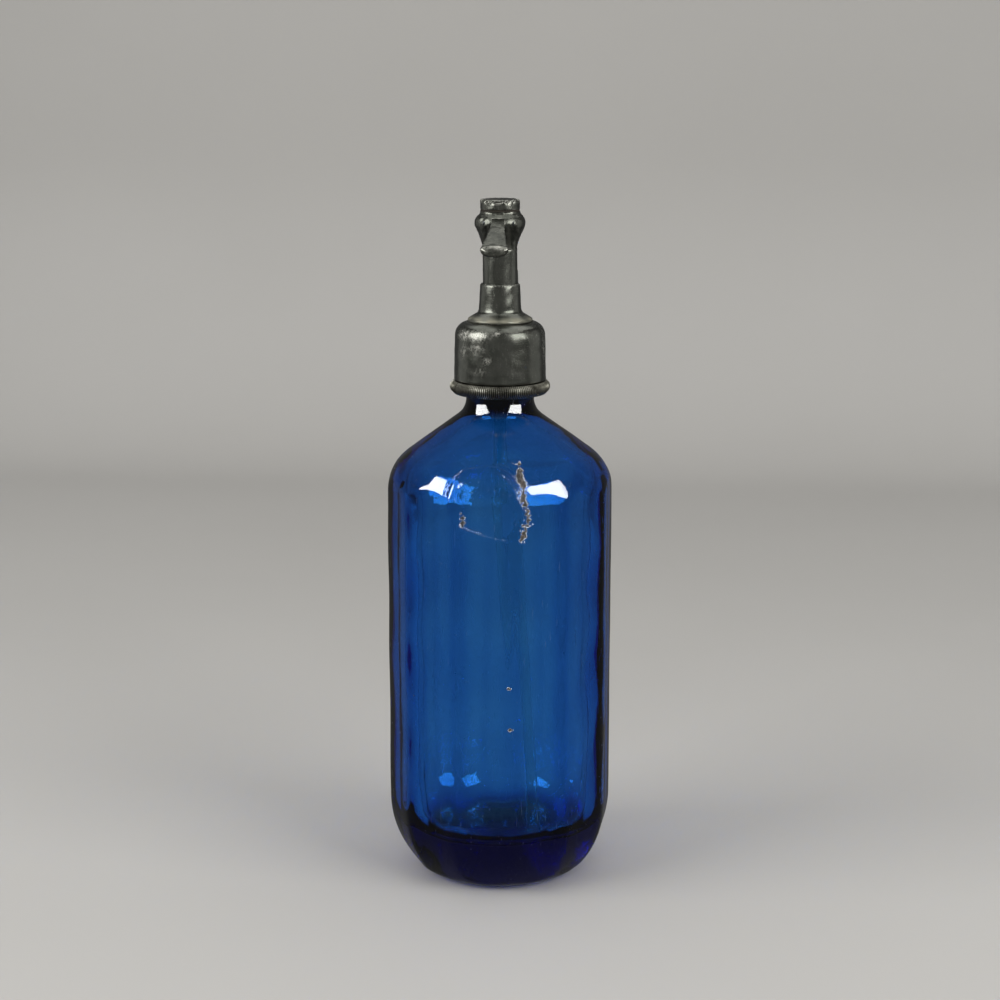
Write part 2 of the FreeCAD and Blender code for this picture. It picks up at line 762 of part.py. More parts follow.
def make_standpipe_socket():
    """Flared socket: tail screwed down through the bell into the base, waist and collar round the standpipe."""
    pipe_bore = "(pipe_radius + running_clearance)"
    turned("standpipe_socket", [
        corner("waterway_radius", TAIL_FOOT),
        corner("tail_radius", TAIL_FOOT),
        corner("tail_radius", BELL_TOP),
        corner("socket_flange_radius", BELL_TOP),
        corner("socket_flange_radius", "%s + socket_flange_depth" % BELL_TOP),
        corner("socket_waist_radius", "%s + socket_waist_height" % BELL_TOP, "socket_waist_round"),
        corner("socket_radius", "%s - socket_edge" % SOCKET_TOP),
        corner("socket_radius - socket_edge", SOCKET_TOP),
        corner(pipe_bore, SOCKET_TOP),
        corner(pipe_bore, PIPE_FOOT),
        corner("waterway_radius", PIPE_FOOT),
    ])


def make_standpipe_tube():
    """Standpipe: waterway below, ledge and packing pocket above, with a slanting port for the spout."""
    ledge_hole = "(stem_radius + slot_clearance)"
    body = turned("standpipe_tube", [
        corner("waterway_radius", PIPE_FOOT),
        corner("pipe_radius", PIPE_FOOT),
        corner("pipe_radius", PIPE_TOP),
        corner("spigot_radius", PIPE_TOP),
        corner("spigot_radius", SPIGOT_TOP),
        corner("packing_radius", SPIGOT_TOP),
        corner("packing_radius", PIPE_TOP),
        corner(ledge_hole, PIPE_TOP),
        corner(ledge_hole, "%s - pipe_ledge" % PIPE_TOP),
        corner("waterway_radius", "%s - pipe_ledge" % PIPE_TOP),
    ])
    doc.recompute()
    rise = "((%s - %s) / (spout_crest_reach - waterway_radius))" % (SPOUT_CREST, SPOUT_ROOT)
    pipe(body, "spout_port", "YZ_Plane", [
        corner("waterway_radius - cut_margin", "%s - cut_margin * %s" % (SPOUT_ROOT, rise)),
        corner("pipe_radius + cut_margin", "%s + (pipe_radius + cut_margin - waterway_radius) * %s" % (SPOUT_ROOT, rise)),
    ], "spout_bore", "PartDesign::SubtractivePipe")


def make_packing_nut():
    """Hexagon nut that presses the packing round the stem."""
    body = turned("packing_nut", [
        corner("stem_radius + slot_clearance", PACKING_TOP),
        corner("packing_radius - washer_clearance", PACKING_TOP),
        corner("packing_radius - washer_clearance", PACKING_SHANK_TOP),
        corner("stem_radius + slot_clearance", PACKING_SHANK_TOP),
    ])
    doc.recompute()
    hexagon(body, "packing_nut_hexagon", "packing_nut_flats", PACKING_SHANK_TOP, "packing_nut_head")
    doc.recompute()
    end = "(%s + packing_nut_head + cut_margin)" % PACKING_SHANK_TOP
    turn_profile(body, "packing_nut_bore", [
        corner("0", PACKING_TOP),
        corner("stem_radius + slot_clearance", PACKING_TOP),
        corner("stem_radius + slot_clearance", end),
        corner("0", end),
    ], "PartDesign::Groove")


def make_valve_head():
    """Bulb above the standpipe, hollow for the crosshead, with a front slot for the lever and holes for its pin."""
    spigot_bore = "(spigot_radius + running_clearance)"
    stub_bore = "(cap_stub_radius + washer_clearance)"
    stub_floor = "(%s - slot_clearance)" % STUB_FOOT
    body = turned("valve_head", [
        corner(spigot_bore, PIPE_TOP),
        corner("pipe_radius", PIPE_TOP),
        corner("head_foot_radius", "%s + head_foot_height" % PIPE_TOP, "head_foot_round"),
        corner("bulb_radius", "%s + bulb_height" % PIPE_TOP, "bulb_round"),
        corner("cap_radius", "%s - bulb_shoulder" % HEAD_TOP, "bulb_shoulder_round"),
        corner("cap_radius", HEAD_TOP),
        corner(stub_bore, HEAD_TOP),
        corner(stub_bore, stub_floor),
        corner("chamber_radius", stub_floor),
        corner("chamber_radius", SPIGOT_TOP),
        corner(spigot_bore, SPIGOT_TOP),
    ])
    doc.recompute()
    slot_top = "(%s + slot_rise)" % PIVOT_HEIGHT
    front = "-(bulb_radius + cut_margin)"
    cross_bar(body, "lever_slot", [
        corner(front, "%s - slot_depth" % slot_top),
        corner("-chamber_radius / 2", "%s - slot_depth" % slot_top),
        corner("-chamber_radius / 2", slot_top),
        corner(front, slot_top),
    ], "slot_width", "PartDesign::Pocket")
    doc.recompute()
    hole = "(pin_radius + close_clearance)"
    cross_round(body, "pin_hole", "-pivot_reach", PIVOT_HEIGHT, hole, "4 * bulb_radius", "PartDesign::Pocket")


def make_top_cap():
    """Screw cap with a rounded rim, hollow underneath to hold the spring."""
    turned("top_cap", [
        corner("0", CAP_CEILING),
        corner("cap_hollow_radius", CAP_CEILING),
        corner("cap_hollow_radius", STUB_FOOT),
        corner("cap_stub_radius", STUB_FOOT),
        corner("cap_stub_radius", CAP_FOOT),
        corner("cap_radius", CAP_FOOT),
        corner("cap_radius", CAP_TOP, "cap_round"),
        corner("0", CAP_TOP),
    ])


def arm_section(body, name, reach, width, top, depth):
    """One cross section of the lever's arm: flat on top, straight short sides and a bowed belly."""
    sketch = new_sketch(body, name, "XZ_Plane", reach)
    half = "(%s / 2)" % width
    side = "(%s - %s / 3)" % (top, depth)
    drop = "(%s * 2 / 3)" % depth
    bow = "((%s ^ 2 + %s ^ 2) / (2 * %s))" % (half, drop, drop)
    draw_path(sketch, [
        corner("-" + half, side),
        corner("0", "%s - %s" % (top, depth), bow=bow, side=1),
        corner(half, side, bow=bow, side=1),
        corner(half, top),
        corner("-" + half, top),
    ], True)
    return sketch


def make_lever():
    """Press lever: hub on the pin, finger into the crosshead, and an arm that widens to a deep thumb lip."""
    body = new_body("lever")
    root_reach = "pivot_reach"
    fall = "tan(arm_slope * 1deg)"
    root_top = "(%s + lever_hub_radius)" % PIVOT_HEIGHT
    sections = []
    for name, along, width, depth in (
        ("arm_root", "0", "lever_hub_width", "arm_root_thickness"),
        ("arm_thumb", "arm_thumb_start", "arm_plate_width", "arm_plate_depth"),
        ("arm_lip", "arm_lip_start", "arm_width", "arm_lip_depth"),
        ("arm_end", "1", "(arm_width - arm_end_taper)", "(arm_lip_depth - arm_end_taper)"),
    ):
        reach = "%s + arm_reach * %s" % (root_reach, along)
        top = "(%s - arm_reach * %s * %s)" % (root_top, along, fall)
        sections.append(arm_section(body, name, reach, "(%s)" % width, top, "(%s)" % depth))
    doc.recompute()
    arm = body.newObject("PartDesign::AdditiveLoft", "arm")
    arm.Profile = sections[0]
    arm.Sections = sections[1:]
    arm.Ruled = True
    doc.recompute()
    cross_round(body, "lever_hub", "-pivot_reach", PIVOT_HEIGHT, "lever_hub_radius", "lever_hub_width")
    doc.recompute()
    cross_bar(body, "lever_finger", [
        corner("-pivot_reach", "%s - finger_thickness / 2" % PIVOT_HEIGHT),
        corner("0", "%s - finger_thickness / 2" % PIVOT_HEIGHT),
        corner("0", "%s + finger_thickness / 2" % PIVOT_HEIGHT),
        corner("-pivot_reach", "%s + finger_thickness / 2" % PIVOT_HEIGHT),
    ], "finger_width")
    doc.recompute()
    cross_round(body, "lever_fingertip", "0", PIVOT_HEIGHT, "fingertip_radius", "finger_width")
    doc.recompute()
    hole = "(pin_radius + running_clearance)"
    cross_round(body, "lever_pin_hole", "-pivot_reach", PIVOT_HEIGHT, hole, "4 * arm_width", "PartDesign::Pocket")


def spout_path(root_reach, root_height):
    """The spout's route from its root over the crest and down to its end."""
    return [
        corner(root_reach, root_height),
        corner("spout_crest_reach", SPOUT_CREST, "spout_round"),
        corner(SPOUT_CROWN_REACH, SPOUT_CROWN, "spout_round"),
        corner(SPOUT_END_REACH, SPOUT_END),
    ]


def make_spout():
    """Swan-necked spout, its root cut to the standpipe's round."""
    body = new_body("spout")
    route = spout_path("waterway_radius", SPOUT_ROOT)
    pipe(body, "spout_wall", "YZ_Plane", route, "spout_radius")
    doc.recompute()
    pipe(body, "spout_hole", "YZ_Plane", route, "spout_bore", "PartDesign::SubtractivePipe")
    doc.recompute()
    saddle = new_sketch(body, "spout_saddle_plan", "XY_Plane", SPOUT_ROOT)
    draw_circle(saddle, "0", "0", "pipe_radius + close_clearance")
    extrude(body, "spout_saddle", saddle, "10 * spout_radius", "PartDesign::Pocket")


def make_spout_tip():
    """Turned sleeve over the spout's end, with a lip at the mouth."""
    sleeve_bore = "(spout_radius + close_clearance)"
    outer = "(%s + tip_wall)" % sleeve_bore
    body = turned("spout_tip", [
        corner("spout_bore", "0"),
        corner(outer, "0", "tip_round"),
        corner(outer, "tip_lip + tip_sleeve", "tip_round"),
        corner(sleeve_bore, "tip_lip + tip_sleeve"),
        corner(sleeve_bore, "tip_lip"),
        corner("spout_bore", "tip_lip"),
    ])
    tilt = "atan(spout_mouth_reach / spout_mouth_fall)"
    mouth_reach = "%s + tip_lip * sin(%s)" % (SPOUT_END_REACH, tilt)
    mouth_height = "%s - tip_lip * cos(%s)" % (SPOUT_END, tilt)
    degrees = math.degrees(math.atan(number("spout_mouth_reach / spout_mouth_fall")))
    place = FreeCAD.Vector(0, number(mouth_reach), number(mouth_height))
    body.Placement = FreeCAD.Placement(place, FreeCAD.Rotation(FreeCAD.Vector(1, 0, 0), degrees))
    body.setExpression("Placement.Base.y", bound(mouth_reach))
    body.setExpression("Placement.Base.z", bound(mouth_height))
    body.setExpression("Placement.Rotation.Angle", bound(tilt))


def make_lever_pin():
    """Plain pin across the head's slot."""
    body = new_body("lever_pin")
    cross_round(body, "lever_pin_rod", "-pivot_reach", PIVOT_HEIGHT, "pin_radius", "pin_length")


make_glass_bottle()
make_dip_tube()
ring("tube_gasket", "tube_radius + close_clearance", "boss_radius", GLAND_GASKET_FOOT, BOSS_FOOT)
make_tube_nut()
ring("neck_gasket", "neck_bore", "flange_radius", BOTTLE_TOP, FLANGE_FOOT)
ring("neck_washer", "neck_radius + thread_clearance", "bead_radius", RING_LEDGE, "%s + neck_washer_thickness" % RING_LEDGE)
make_split_ring()
make_bell_cap()
make_valve_base()
make_seat_insert()
ring("valve_washer", "screw_radius + close_clearance", "washer_radius", VALVE_FOOT, CUP_FLOOR)
make_valve_cup()
make_washer_screw()
make_valve_stem()
ring("spring_plate", "screw_radius", "crosshead_radius", CROSSHEAD_TOP, PLATE_TOP)
make_valve_spring()
make_standpipe_socket()
make_standpipe_tube()
ring("packing_ring", "stem_radius + close_clearance", "packing_radius - close_clearance", PIPE_TOP, PACKING_TOP)
make_packing_nut()
make_valve_head()
ring("cap_washer", "cap_stub_radius + close_clearance", "cap_radius - cap_washer_inset", HEAD_TOP, CAP_FOOT)
make_top_cap()
make_lever()
make_lever_pin()
make_spout()
make_spout_tip()
doc.recompute()

# Every feature is sound before anything is written

for item in doc.Objects:
    if "Invalid" in item.State or "Error" in item.State:
        raise RuntimeError("%s could not be built: %s" % (item.Label, item.State))

os.makedirs("parts", exist_ok=True)
for body in bodies:
    shape = body.Shape
    if shape.isNull() or not shape.isValid() or len(shape.Solids) != 1:
        raise RuntimeError("%s is not one sound solid" % body.Label)
for body in bodies:
    body.Shape.exportStep("parts/%s.step" % body.Label)
    print("%-18s %10.1f mm3" % (body.Label, body.Shape.Volume))
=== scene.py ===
import bmesh
import bpy
import math
import numpy as np
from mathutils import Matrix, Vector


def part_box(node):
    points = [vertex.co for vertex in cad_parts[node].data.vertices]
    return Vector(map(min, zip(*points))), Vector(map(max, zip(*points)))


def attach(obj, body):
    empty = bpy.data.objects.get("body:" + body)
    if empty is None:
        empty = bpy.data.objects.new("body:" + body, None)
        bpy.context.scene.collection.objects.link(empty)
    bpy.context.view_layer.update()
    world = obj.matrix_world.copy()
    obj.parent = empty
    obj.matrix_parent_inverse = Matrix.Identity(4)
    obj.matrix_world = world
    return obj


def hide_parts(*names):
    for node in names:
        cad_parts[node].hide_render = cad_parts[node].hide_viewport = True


# The look of a soda siphon: a faceted cobalt bottle, a worn pewter head, a press lever and a swan-necked
# spout. Shapes are worked out in millimetres. Azimuth 0 is the front, -Y, and grows towards +X.

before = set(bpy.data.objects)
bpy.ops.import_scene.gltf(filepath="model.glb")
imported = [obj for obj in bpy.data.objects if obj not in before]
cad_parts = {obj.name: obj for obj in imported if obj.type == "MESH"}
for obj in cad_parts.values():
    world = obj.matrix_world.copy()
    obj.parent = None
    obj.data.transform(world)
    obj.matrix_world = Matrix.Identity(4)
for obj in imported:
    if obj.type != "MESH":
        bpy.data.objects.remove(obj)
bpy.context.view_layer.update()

METRES = 0.001
SHARPEST_BEND = 3.0  # per mm, where the measure of bent edges is cut off
SHARP_ANGLE = math.radians(40)  # faces that meet more steeply are shaded with an edge between them


# Heights and places that the frame gives

def height(node):
    """The lowest and highest level of a piece, in mm."""
    low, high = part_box(node)
    return low.z / METRES, high.z / METRES


BOTTLE_TOP = height("glass_bottle")[1]
RING_FOOT, SLEEVE_TOP = height("ring_half_front")
BELL_FOOT, BELL_TOP = height("bell_cap")
TAIL_FOOT, SOCKET_TOP = height("standpipe_socket")
PIPE_FOOT, PIPE_SPIGOT_TOP = height("standpipe_tube")
HEAD_FOOT, HEAD_TOP = height("valve_head")
STUB_FOOT, CAP_TOP = height("top_cap")
CAP_FOOT = height("cap_washer")[1]
PIVOT_HEIGHT = sum(height("lever_pin")) / 2
PIVOT_REACH = -(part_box("lever_pin")[0].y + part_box("lever_pin")[1].y) / 2 / METRES
LEVER_REACH = -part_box("lever")[0].y / METRES
TUBE_TOP = height("dip_tube")[1]


# Shapes as arrays

def unit(vector):
    return vector / np.linalg.norm(vector)


def outline(corners, step, closed=False):
    """Straight runs through (across, up, rounding) corners with tangent arcs, a point about every step."""
    points = np.array([one[:2] for one in corners], float)
    parts = []
    for index, one in enumerate(corners):
        point = points[index]
        if len(one) < 3:
            parts.append(point[None])
            continue
        before = unit(points[index - 1] - point)
        after = unit(points[(index + 1) % len(points)] - point)
        half = math.acos(before @ after) / 2
        turn = math.pi - 2 * half
        centre = point + unit(before + after) * one[2] / math.sin(half)
        first = point + before * one[2] / math.tan(half) - centre
        last = point + after * one[2] / math.tan(half) - centre
        share = np.linspace(0, 1, max(4, int(turn * one[2] / step) + 2))[:, None]
        swept = np.sin((1 - share) * turn) * first + np.sin(share * turn) * last
        parts.append(centre + swept / math.sin(turn))
    line = np.concatenate(parts + ([parts[0][:1]] if closed else []))
    counts = np.ceil(np.linalg.norm(np.diff(line, axis=0), axis=1) / step).astype(int)
    runs = [np.linspace(a, b, max(1, n), endpoint=False) for a, b, n in zip(line[:-1], line[1:], counts)]
    return np.concatenate(runs + ([] if closed else [line[-1:]]))


def spread(values, spacing, count):
    """A number of stations along a line of parameter values, closer together where the spacing is small."""
    measure = np.concatenate([[0], np.cumsum(np.diff(values) / spacing[1:])])
    return np.interp(np.linspace(0, measure[-1], count), measure, values)


def turned(section, angles):
    """Lathe work: every point of a half section (radius, height) carried round the Z axis."""
    radius, level = section[:, 0, None], section[:, 1, None]
    return np.stack([radius * np.sin(angles), -radius * np.cos(angles), level + 0 * angles], axis=-1)


def round_bar(line, radius, side, count):
    """Circles square to a line. Their first point lies to the side given, one for all or one per point."""
    run = np.gradient(line, axis=0)
    run /= np.linalg.norm(run, axis=1, keepdims=True)
    side = np.broadcast_to(side, line.shape)
    across = np.cross(side, run)[:, None]
    angles = np.linspace(0, 2 * math.pi, count, endpoint=False)[:, None]
    return line[:, None] + radius * (np.cos(angles) * side[:, None] + np.sin(angles) * across)


def even_angles(count):
    """Azimuths all the way round."""
    return np.linspace(-math.pi, math.pi, count, endpoint=False)


def azimuth_of(grid):
    """The azimuth of every point of a grid, in degrees."""
    return np.degrees(np.arctan2(grid[..., 0], -grid[..., 1]))


def radius_of(grid):
    """How far every point of a grid lies from the Z axis."""
    return np.hypot(grid[..., 0], grid[..., 1])


def ridge(values, middle, half_width):
    """One where the values meet the middle, falling off on both sides like a bell curve."""
    return np.exp(-((values - middle) / half_width) ** 2)


def sector(bearing, middle, half_width):
    """One within half a width of a bearing, in degrees, and softly nought outside it."""
    return np.exp(-(((bearing - middle + 180) % 360 - 180) / half_width) ** 4)


def ripple(points, wavelength, seed, waves=10):
    """Smooth random field of about unit size: a mean of plane sine waves in random directions."""
    random = np.random.default_rng(seed)
    total = np.zeros(points.shape[:-1])
    for _ in range(waves):
        direction = unit(random.normal(size=3)) * 2 * math.pi / (wavelength * random.uniform(0.7, 1.5))
        total += np.sin(points @ direction + random.uniform(0, 2 * math.pi))
    return total * math.sqrt(2 / waves)


def slopes(grid, joined):
    """Steps along the rows and along the columns of a grid, and the normals that they make."""
    if joined:
        down = (np.roll(grid, -1, axis=0) - np.roll(grid, 1, axis=0)) / 2
    else:
        down = np.gradient(grid, axis=0)
    along = (np.roll(grid, -1, axis=1) - np.roll(grid, 1, axis=1)) / 2
    normal = np.cross(down, along)
    area = np.linalg.norm(normal, axis=-1, keepdims=True)
    outward = np.sign(np.sum(grid * normal))
    return down, along, outward * normal / np.maximum(area, 1e-9)


def bend_of(grid, joined):
    """How sharply the surface bends, per mm: above zero on edges that stick out, below zero in corners."""
    down, along, normal = slopes(grid, joined)
    bend = np.zeros(grid.shape[:2])
    for step, axis in ((down, 0), (along, 1)):
        middle = (np.roll(grid, -1, axis=axis) + np.roll(grid, 1, axis=axis)) / 2 - grid
        if axis == 0 and not joined:
            middle[0] = middle[-1] = 0
        length = np.maximum(np.sum(step * step, axis=-1), 1e-4)
        bend -= 2 * np.sum(middle * normal, axis=-1) / length
    return np.clip(bend, -SHARPEST_BEND, SHARPEST_BEND)


def pushed(grid, joined, amount):
    """A grid moved along its own outward normals by an amount in mm."""
    return grid + slopes(grid, joined)[2] * amount[..., None]


# Grids as pieces

def grid_faces(rows, columns, ends):
    """Quads of a grid whose columns run round. Its ends are joined, drawn to a pole each or closed flat."""
    index = np.arange(rows * columns).reshape(rows, columns)
    upper = np.roll(index, -1, axis=0)
    last = rows if ends == "joined" else rows - 1
    corners = [index, np.roll(index, -1, axis=1), np.roll(upper, -1, axis=1), upper]
    faces = np.stack([one[:last] for one in corners], axis=-1).reshape(-1, 4).tolist()
    if ends == "poles":
        for row, pole in ((index[0], rows * columns), (index[-1], rows * columns + 1)):
            faces += np.stack([np.full(columns, pole), row, np.roll(row, -1)], axis=-1).tolist()
    if ends == "flat":
        faces += [index[0].tolist(), index[-1].tolist()]
    return faces


def add_piece(name, points, faces, body, nodes, slot_name, finish, marks):
    """Makes the mesh, points its faces outwards and lets it ride on its body in place of its CAD nodes."""
    mesh = bpy.data.meshes.new(name)
    mesh.from_pydata(points * METRES, [], faces)
    for mark, values in marks.items():
        mesh.attributes.new(mark, "FLOAT", "POINT").data.foreach_set("value", values.astype(np.float32))
    shell = bmesh.new()
    shell.from_mesh(mesh)
    bmesh.ops.recalc_face_normals(shell, faces=shell.faces)
    shell.to_mesh(mesh)
    shell.free()
    mesh.shade_smooth()
    mesh.set_sharp_from_angle(angle=SHARP_ANGLE)
    mesh.materials.append(finish)
    piece = bpy.data.objects.new(name, mesh)
    bpy.context.scene.collection.objects.link(piece)
    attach(piece, body)
    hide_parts(*nodes)
    return piece


def add_grid(name, grid, ends, body, nodes, slot_name, finish, **marks):
    """A piece from one grid, with the bend of its surface kept for the finish to read."""
    rows, columns = grid.shape[:2]
    marks = {"edge": bend_of(grid, ends == "joined"), **marks}
    points = grid.reshape(-1, 3)
    values = {mark: one.ravel() for mark, one in marks.items()}
    if ends == "poles":
        points = np.concatenate([points, grid[:1].mean(axis=1), grid[-1:].mean(axis=1)])
        values = {mark: np.append(one, [0, 0]) for mark, one in values.items()}
    return add_piece(name, points, grid_faces(rows, columns, ends), body, nodes, slot_name, finish, values)


# Finishes

# Places of sockets whose names aren't their own: a colour Mix node's two colours and its result, and the
# number that an Attribute node reads
A, B, MIXED = 6, 7, 2
FACTOR = 2
SCRATCH_EDGE = 0.03  # how much the noise rises across a scratch's edge


def linear(colour):
    """An sRGB hex colour as linear red, green, blue and alpha."""
    parts = np.array([int(colour[place:place + 2], 16) for place in (1, 3, 5)]) / 255
    parts = np.where(parts <= 0.04045, parts / 12.92, ((parts + 0.055) / 1.055) ** 2.4)
    return (*parts.tolist(), 1.0)


def grain(size):
    """The scale that makes a pattern's features about so many mm across."""
    return 1 / (size * METRES)


def add(tree, kind, inputs=None, **settings):
    """Adds a node. An input is a value, a node for its first output, or a node with the output's place."""
    node = tree.nodes.new("ShaderNode" + kind)
    for name, value in settings.items():
        setattr(node, name, value)
    for place, value in (inputs or {}).items():
        if isinstance(value, bpy.types.Node):
            value = (value, 0)
        if isinstance(value, tuple) and isinstance(value[0], bpy.types.Node):
            tree.links.new(value[0].outputs[value[1]], node.inputs[place])
        else:
            node.inputs[place].default_value = value
    return node


def new_finish(name):
    """An empty material with the pattern coordinates of the piece, which sits at the origin."""
    made = bpy.data.materials.new(name)
    made.use_nodes = True
    made.node_tree.nodes.clear()
    return made, made.node_tree, (add(made.node_tree, "TexCoord"), "Object")


def scratch_lines(tree, place, turn, length, gap, share):
    """Thin scratches one way across the surface: noise drawn out along them, cut to its highest ridges."""
    turned_place = add(tree, "Mapping", {"Vector": place, "Rotation": turn, "Scale": (1, 1, gap / length)})
    lines = add(tree, "TexNoise", {
        "Vector": turned_place, "Scale": grain(gap), "Detail": 1.5, "Distortion": 0.3,
    })
    return add(tree, "MapRange", {"Value": lines, "From Min": share, "From Max": share + SCRATCH_EDGE})


def cobalt_glass():
    """Thick mould-blown cobalt glass: bluer where it is deeper, its skin smeared, scratched and scarred."""
    made, tree, place = new_finish("blown_cobalt_glass")
    scar, neck_shade = [
        (add(tree, "Attribute", attribute_name=one, attribute_type="GEOMETRY"), FACTOR)
        for one in ("scar", "neck_shade")
    ]
    smear = add(tree, "TexNoise", {"Vector": place, "Scale": grain(16), "Detail": 6, "Roughness": 0.6})
    smear_soft = add(tree, "MapRange", {"Value": smear, "From Min": 0.5, "From Max": 0.8, "To Max": 0.03})
    dust_cells = add(tree, "TexVoronoi", {"Vector": place, "Scale": grain(5.5)})
    dust = add(tree, "MapRange", {
        "Value": dust_cells, "From Min": 0.03, "From Max": 0.055, "To Min": 1, "To Max": 0,
    })
    lines = scratch_lines(tree, place, (0.3, 0.5, 0), 14, 0.5, 0.735)
    fresh_lines = scratch_lines(tree, place, (-0.7, 0.2, 0.3), 9, 0.35, 0.745)
    all_lines = add(tree, "Math", {0: lines, 1: fresh_lines}, operation="MAXIMUM")
    marks = add(tree, "Math", {0: all_lines, 1: dust}, operation="MAXIMUM")
    marked = add(tree, "Math", {0: marks, 1: 0.45, 2: smear_soft}, operation="MULTIPLY_ADD")
    rough = add(tree, "Math", {0: scar, 1: 0.8, 2: marked}, operation="MULTIPLY_ADD", use_clamp=True)
    crumbs = add(tree, "TexNoise", {"Vector": place, "Scale": grain(0.8), "Detail": 5, "Roughness": 0.75})
    dirt = add(tree, "MapRange", {"Value": crumbs, "From Min": 0.5, "From Max": 0.6})
    dirt_colour = add(tree, "Mix", {0: dirt, A: linear("#2A1D13"), B: linear("#635F58")}, data_type="RGBA")
    chips = add(tree, "TexNoise", {"Vector": place, "Scale": grain(1.7), "Detail": 4, "Roughness": 0.7})
    black = add(tree, "MapRange", {"Value": chips, "From Min": 0.46, "From Max": 0.52})
    scar_colour = add(tree, "Mix", {
        0: black, A: (dirt_colour, MIXED), B: linear("#0D0B09"),
    }, data_type="RGBA")
    # Painted shade: towards the neck the glass is tinted dark grey-blue
    clean = add(tree, "Mix", {0: neck_shade, A: linear("#FFFFFF"), B: linear("#2E3B4E")}, data_type="RGBA")
    chipped = add(tree, "MapRange", {"Value": scar, "From Min": 0.32, "From Max": 0.5})
    colour = add(tree, "Mix", {0: chipped, A: (clean, MIXED), B: (scar_colour, MIXED)}, data_type="RGBA")
    clear = add(tree, "MapRange", {"Value": chipped, "To Min": 1.0, "To Max": 0.1})
    waves = add(tree, "TexNoise", {"Vector": place, "Scale": grain(9), "Detail": 2})
    wave_bump = add(tree, "Bump", {"Height": waves, "Strength": 0.05, "Distance": 0.0015})
    scar_height = add(tree, "Math", {0: crumbs, 1: scar}, operation="MULTIPLY")
    scar_bump = add(tree, "Bump", {
        "Height": scar_height, "Strength": 1.0, "Distance": 0.0012, "Normal": wave_bump,
    })
    line_bump = add(tree, "Bump", {
        "Height": marks, "Strength": 0.25, "Distance": 0.0002, "Normal": scar_bump,
    })
    glass = add(tree, "BsdfPrincipled", {
        "Base Color": (colour, MIXED), "Roughness": rough, "IOR": 1.5, "Transmission Weight": clear,
        "Normal": line_bump,
    })
    depth = add(tree, "VolumeAbsorption", {"Color": (0.0, 0.56, 0.862, 1), "Density": 255.0})
    add(tree, "OutputMaterial", {"Surface": glass, "Volume": depth})
    return made


def tube_glass():
    """Clear drawn glass tube with a slight bloom, pale green where thick, that hardly bends the light."""
    made, tree, place = new_finish("drawn_clear_glass")
    bloom = add(tree, "TexNoise", {"Vector": place, "Scale": grain(6), "Detail": 4})
    rough = add(tree, "MapRange", {"Value": bloom, "From Min": 0.4, "From Max": 0.7, "To Max": 0.02})
    glass = add(tree, "BsdfPrincipled", {
        "Base Color": linear("#F7FBF8"), "Roughness": rough, "IOR": 1.08, "Transmission Weight": 1.0,
    })
    depth = add(tree, "VolumeAbsorption", {"Color": (0.75, 0.95, 0.85, 1), "Density": 5.0})
    add(tree, "OutputMaterial", {"Surface": glass, "Volume": depth})
    return made


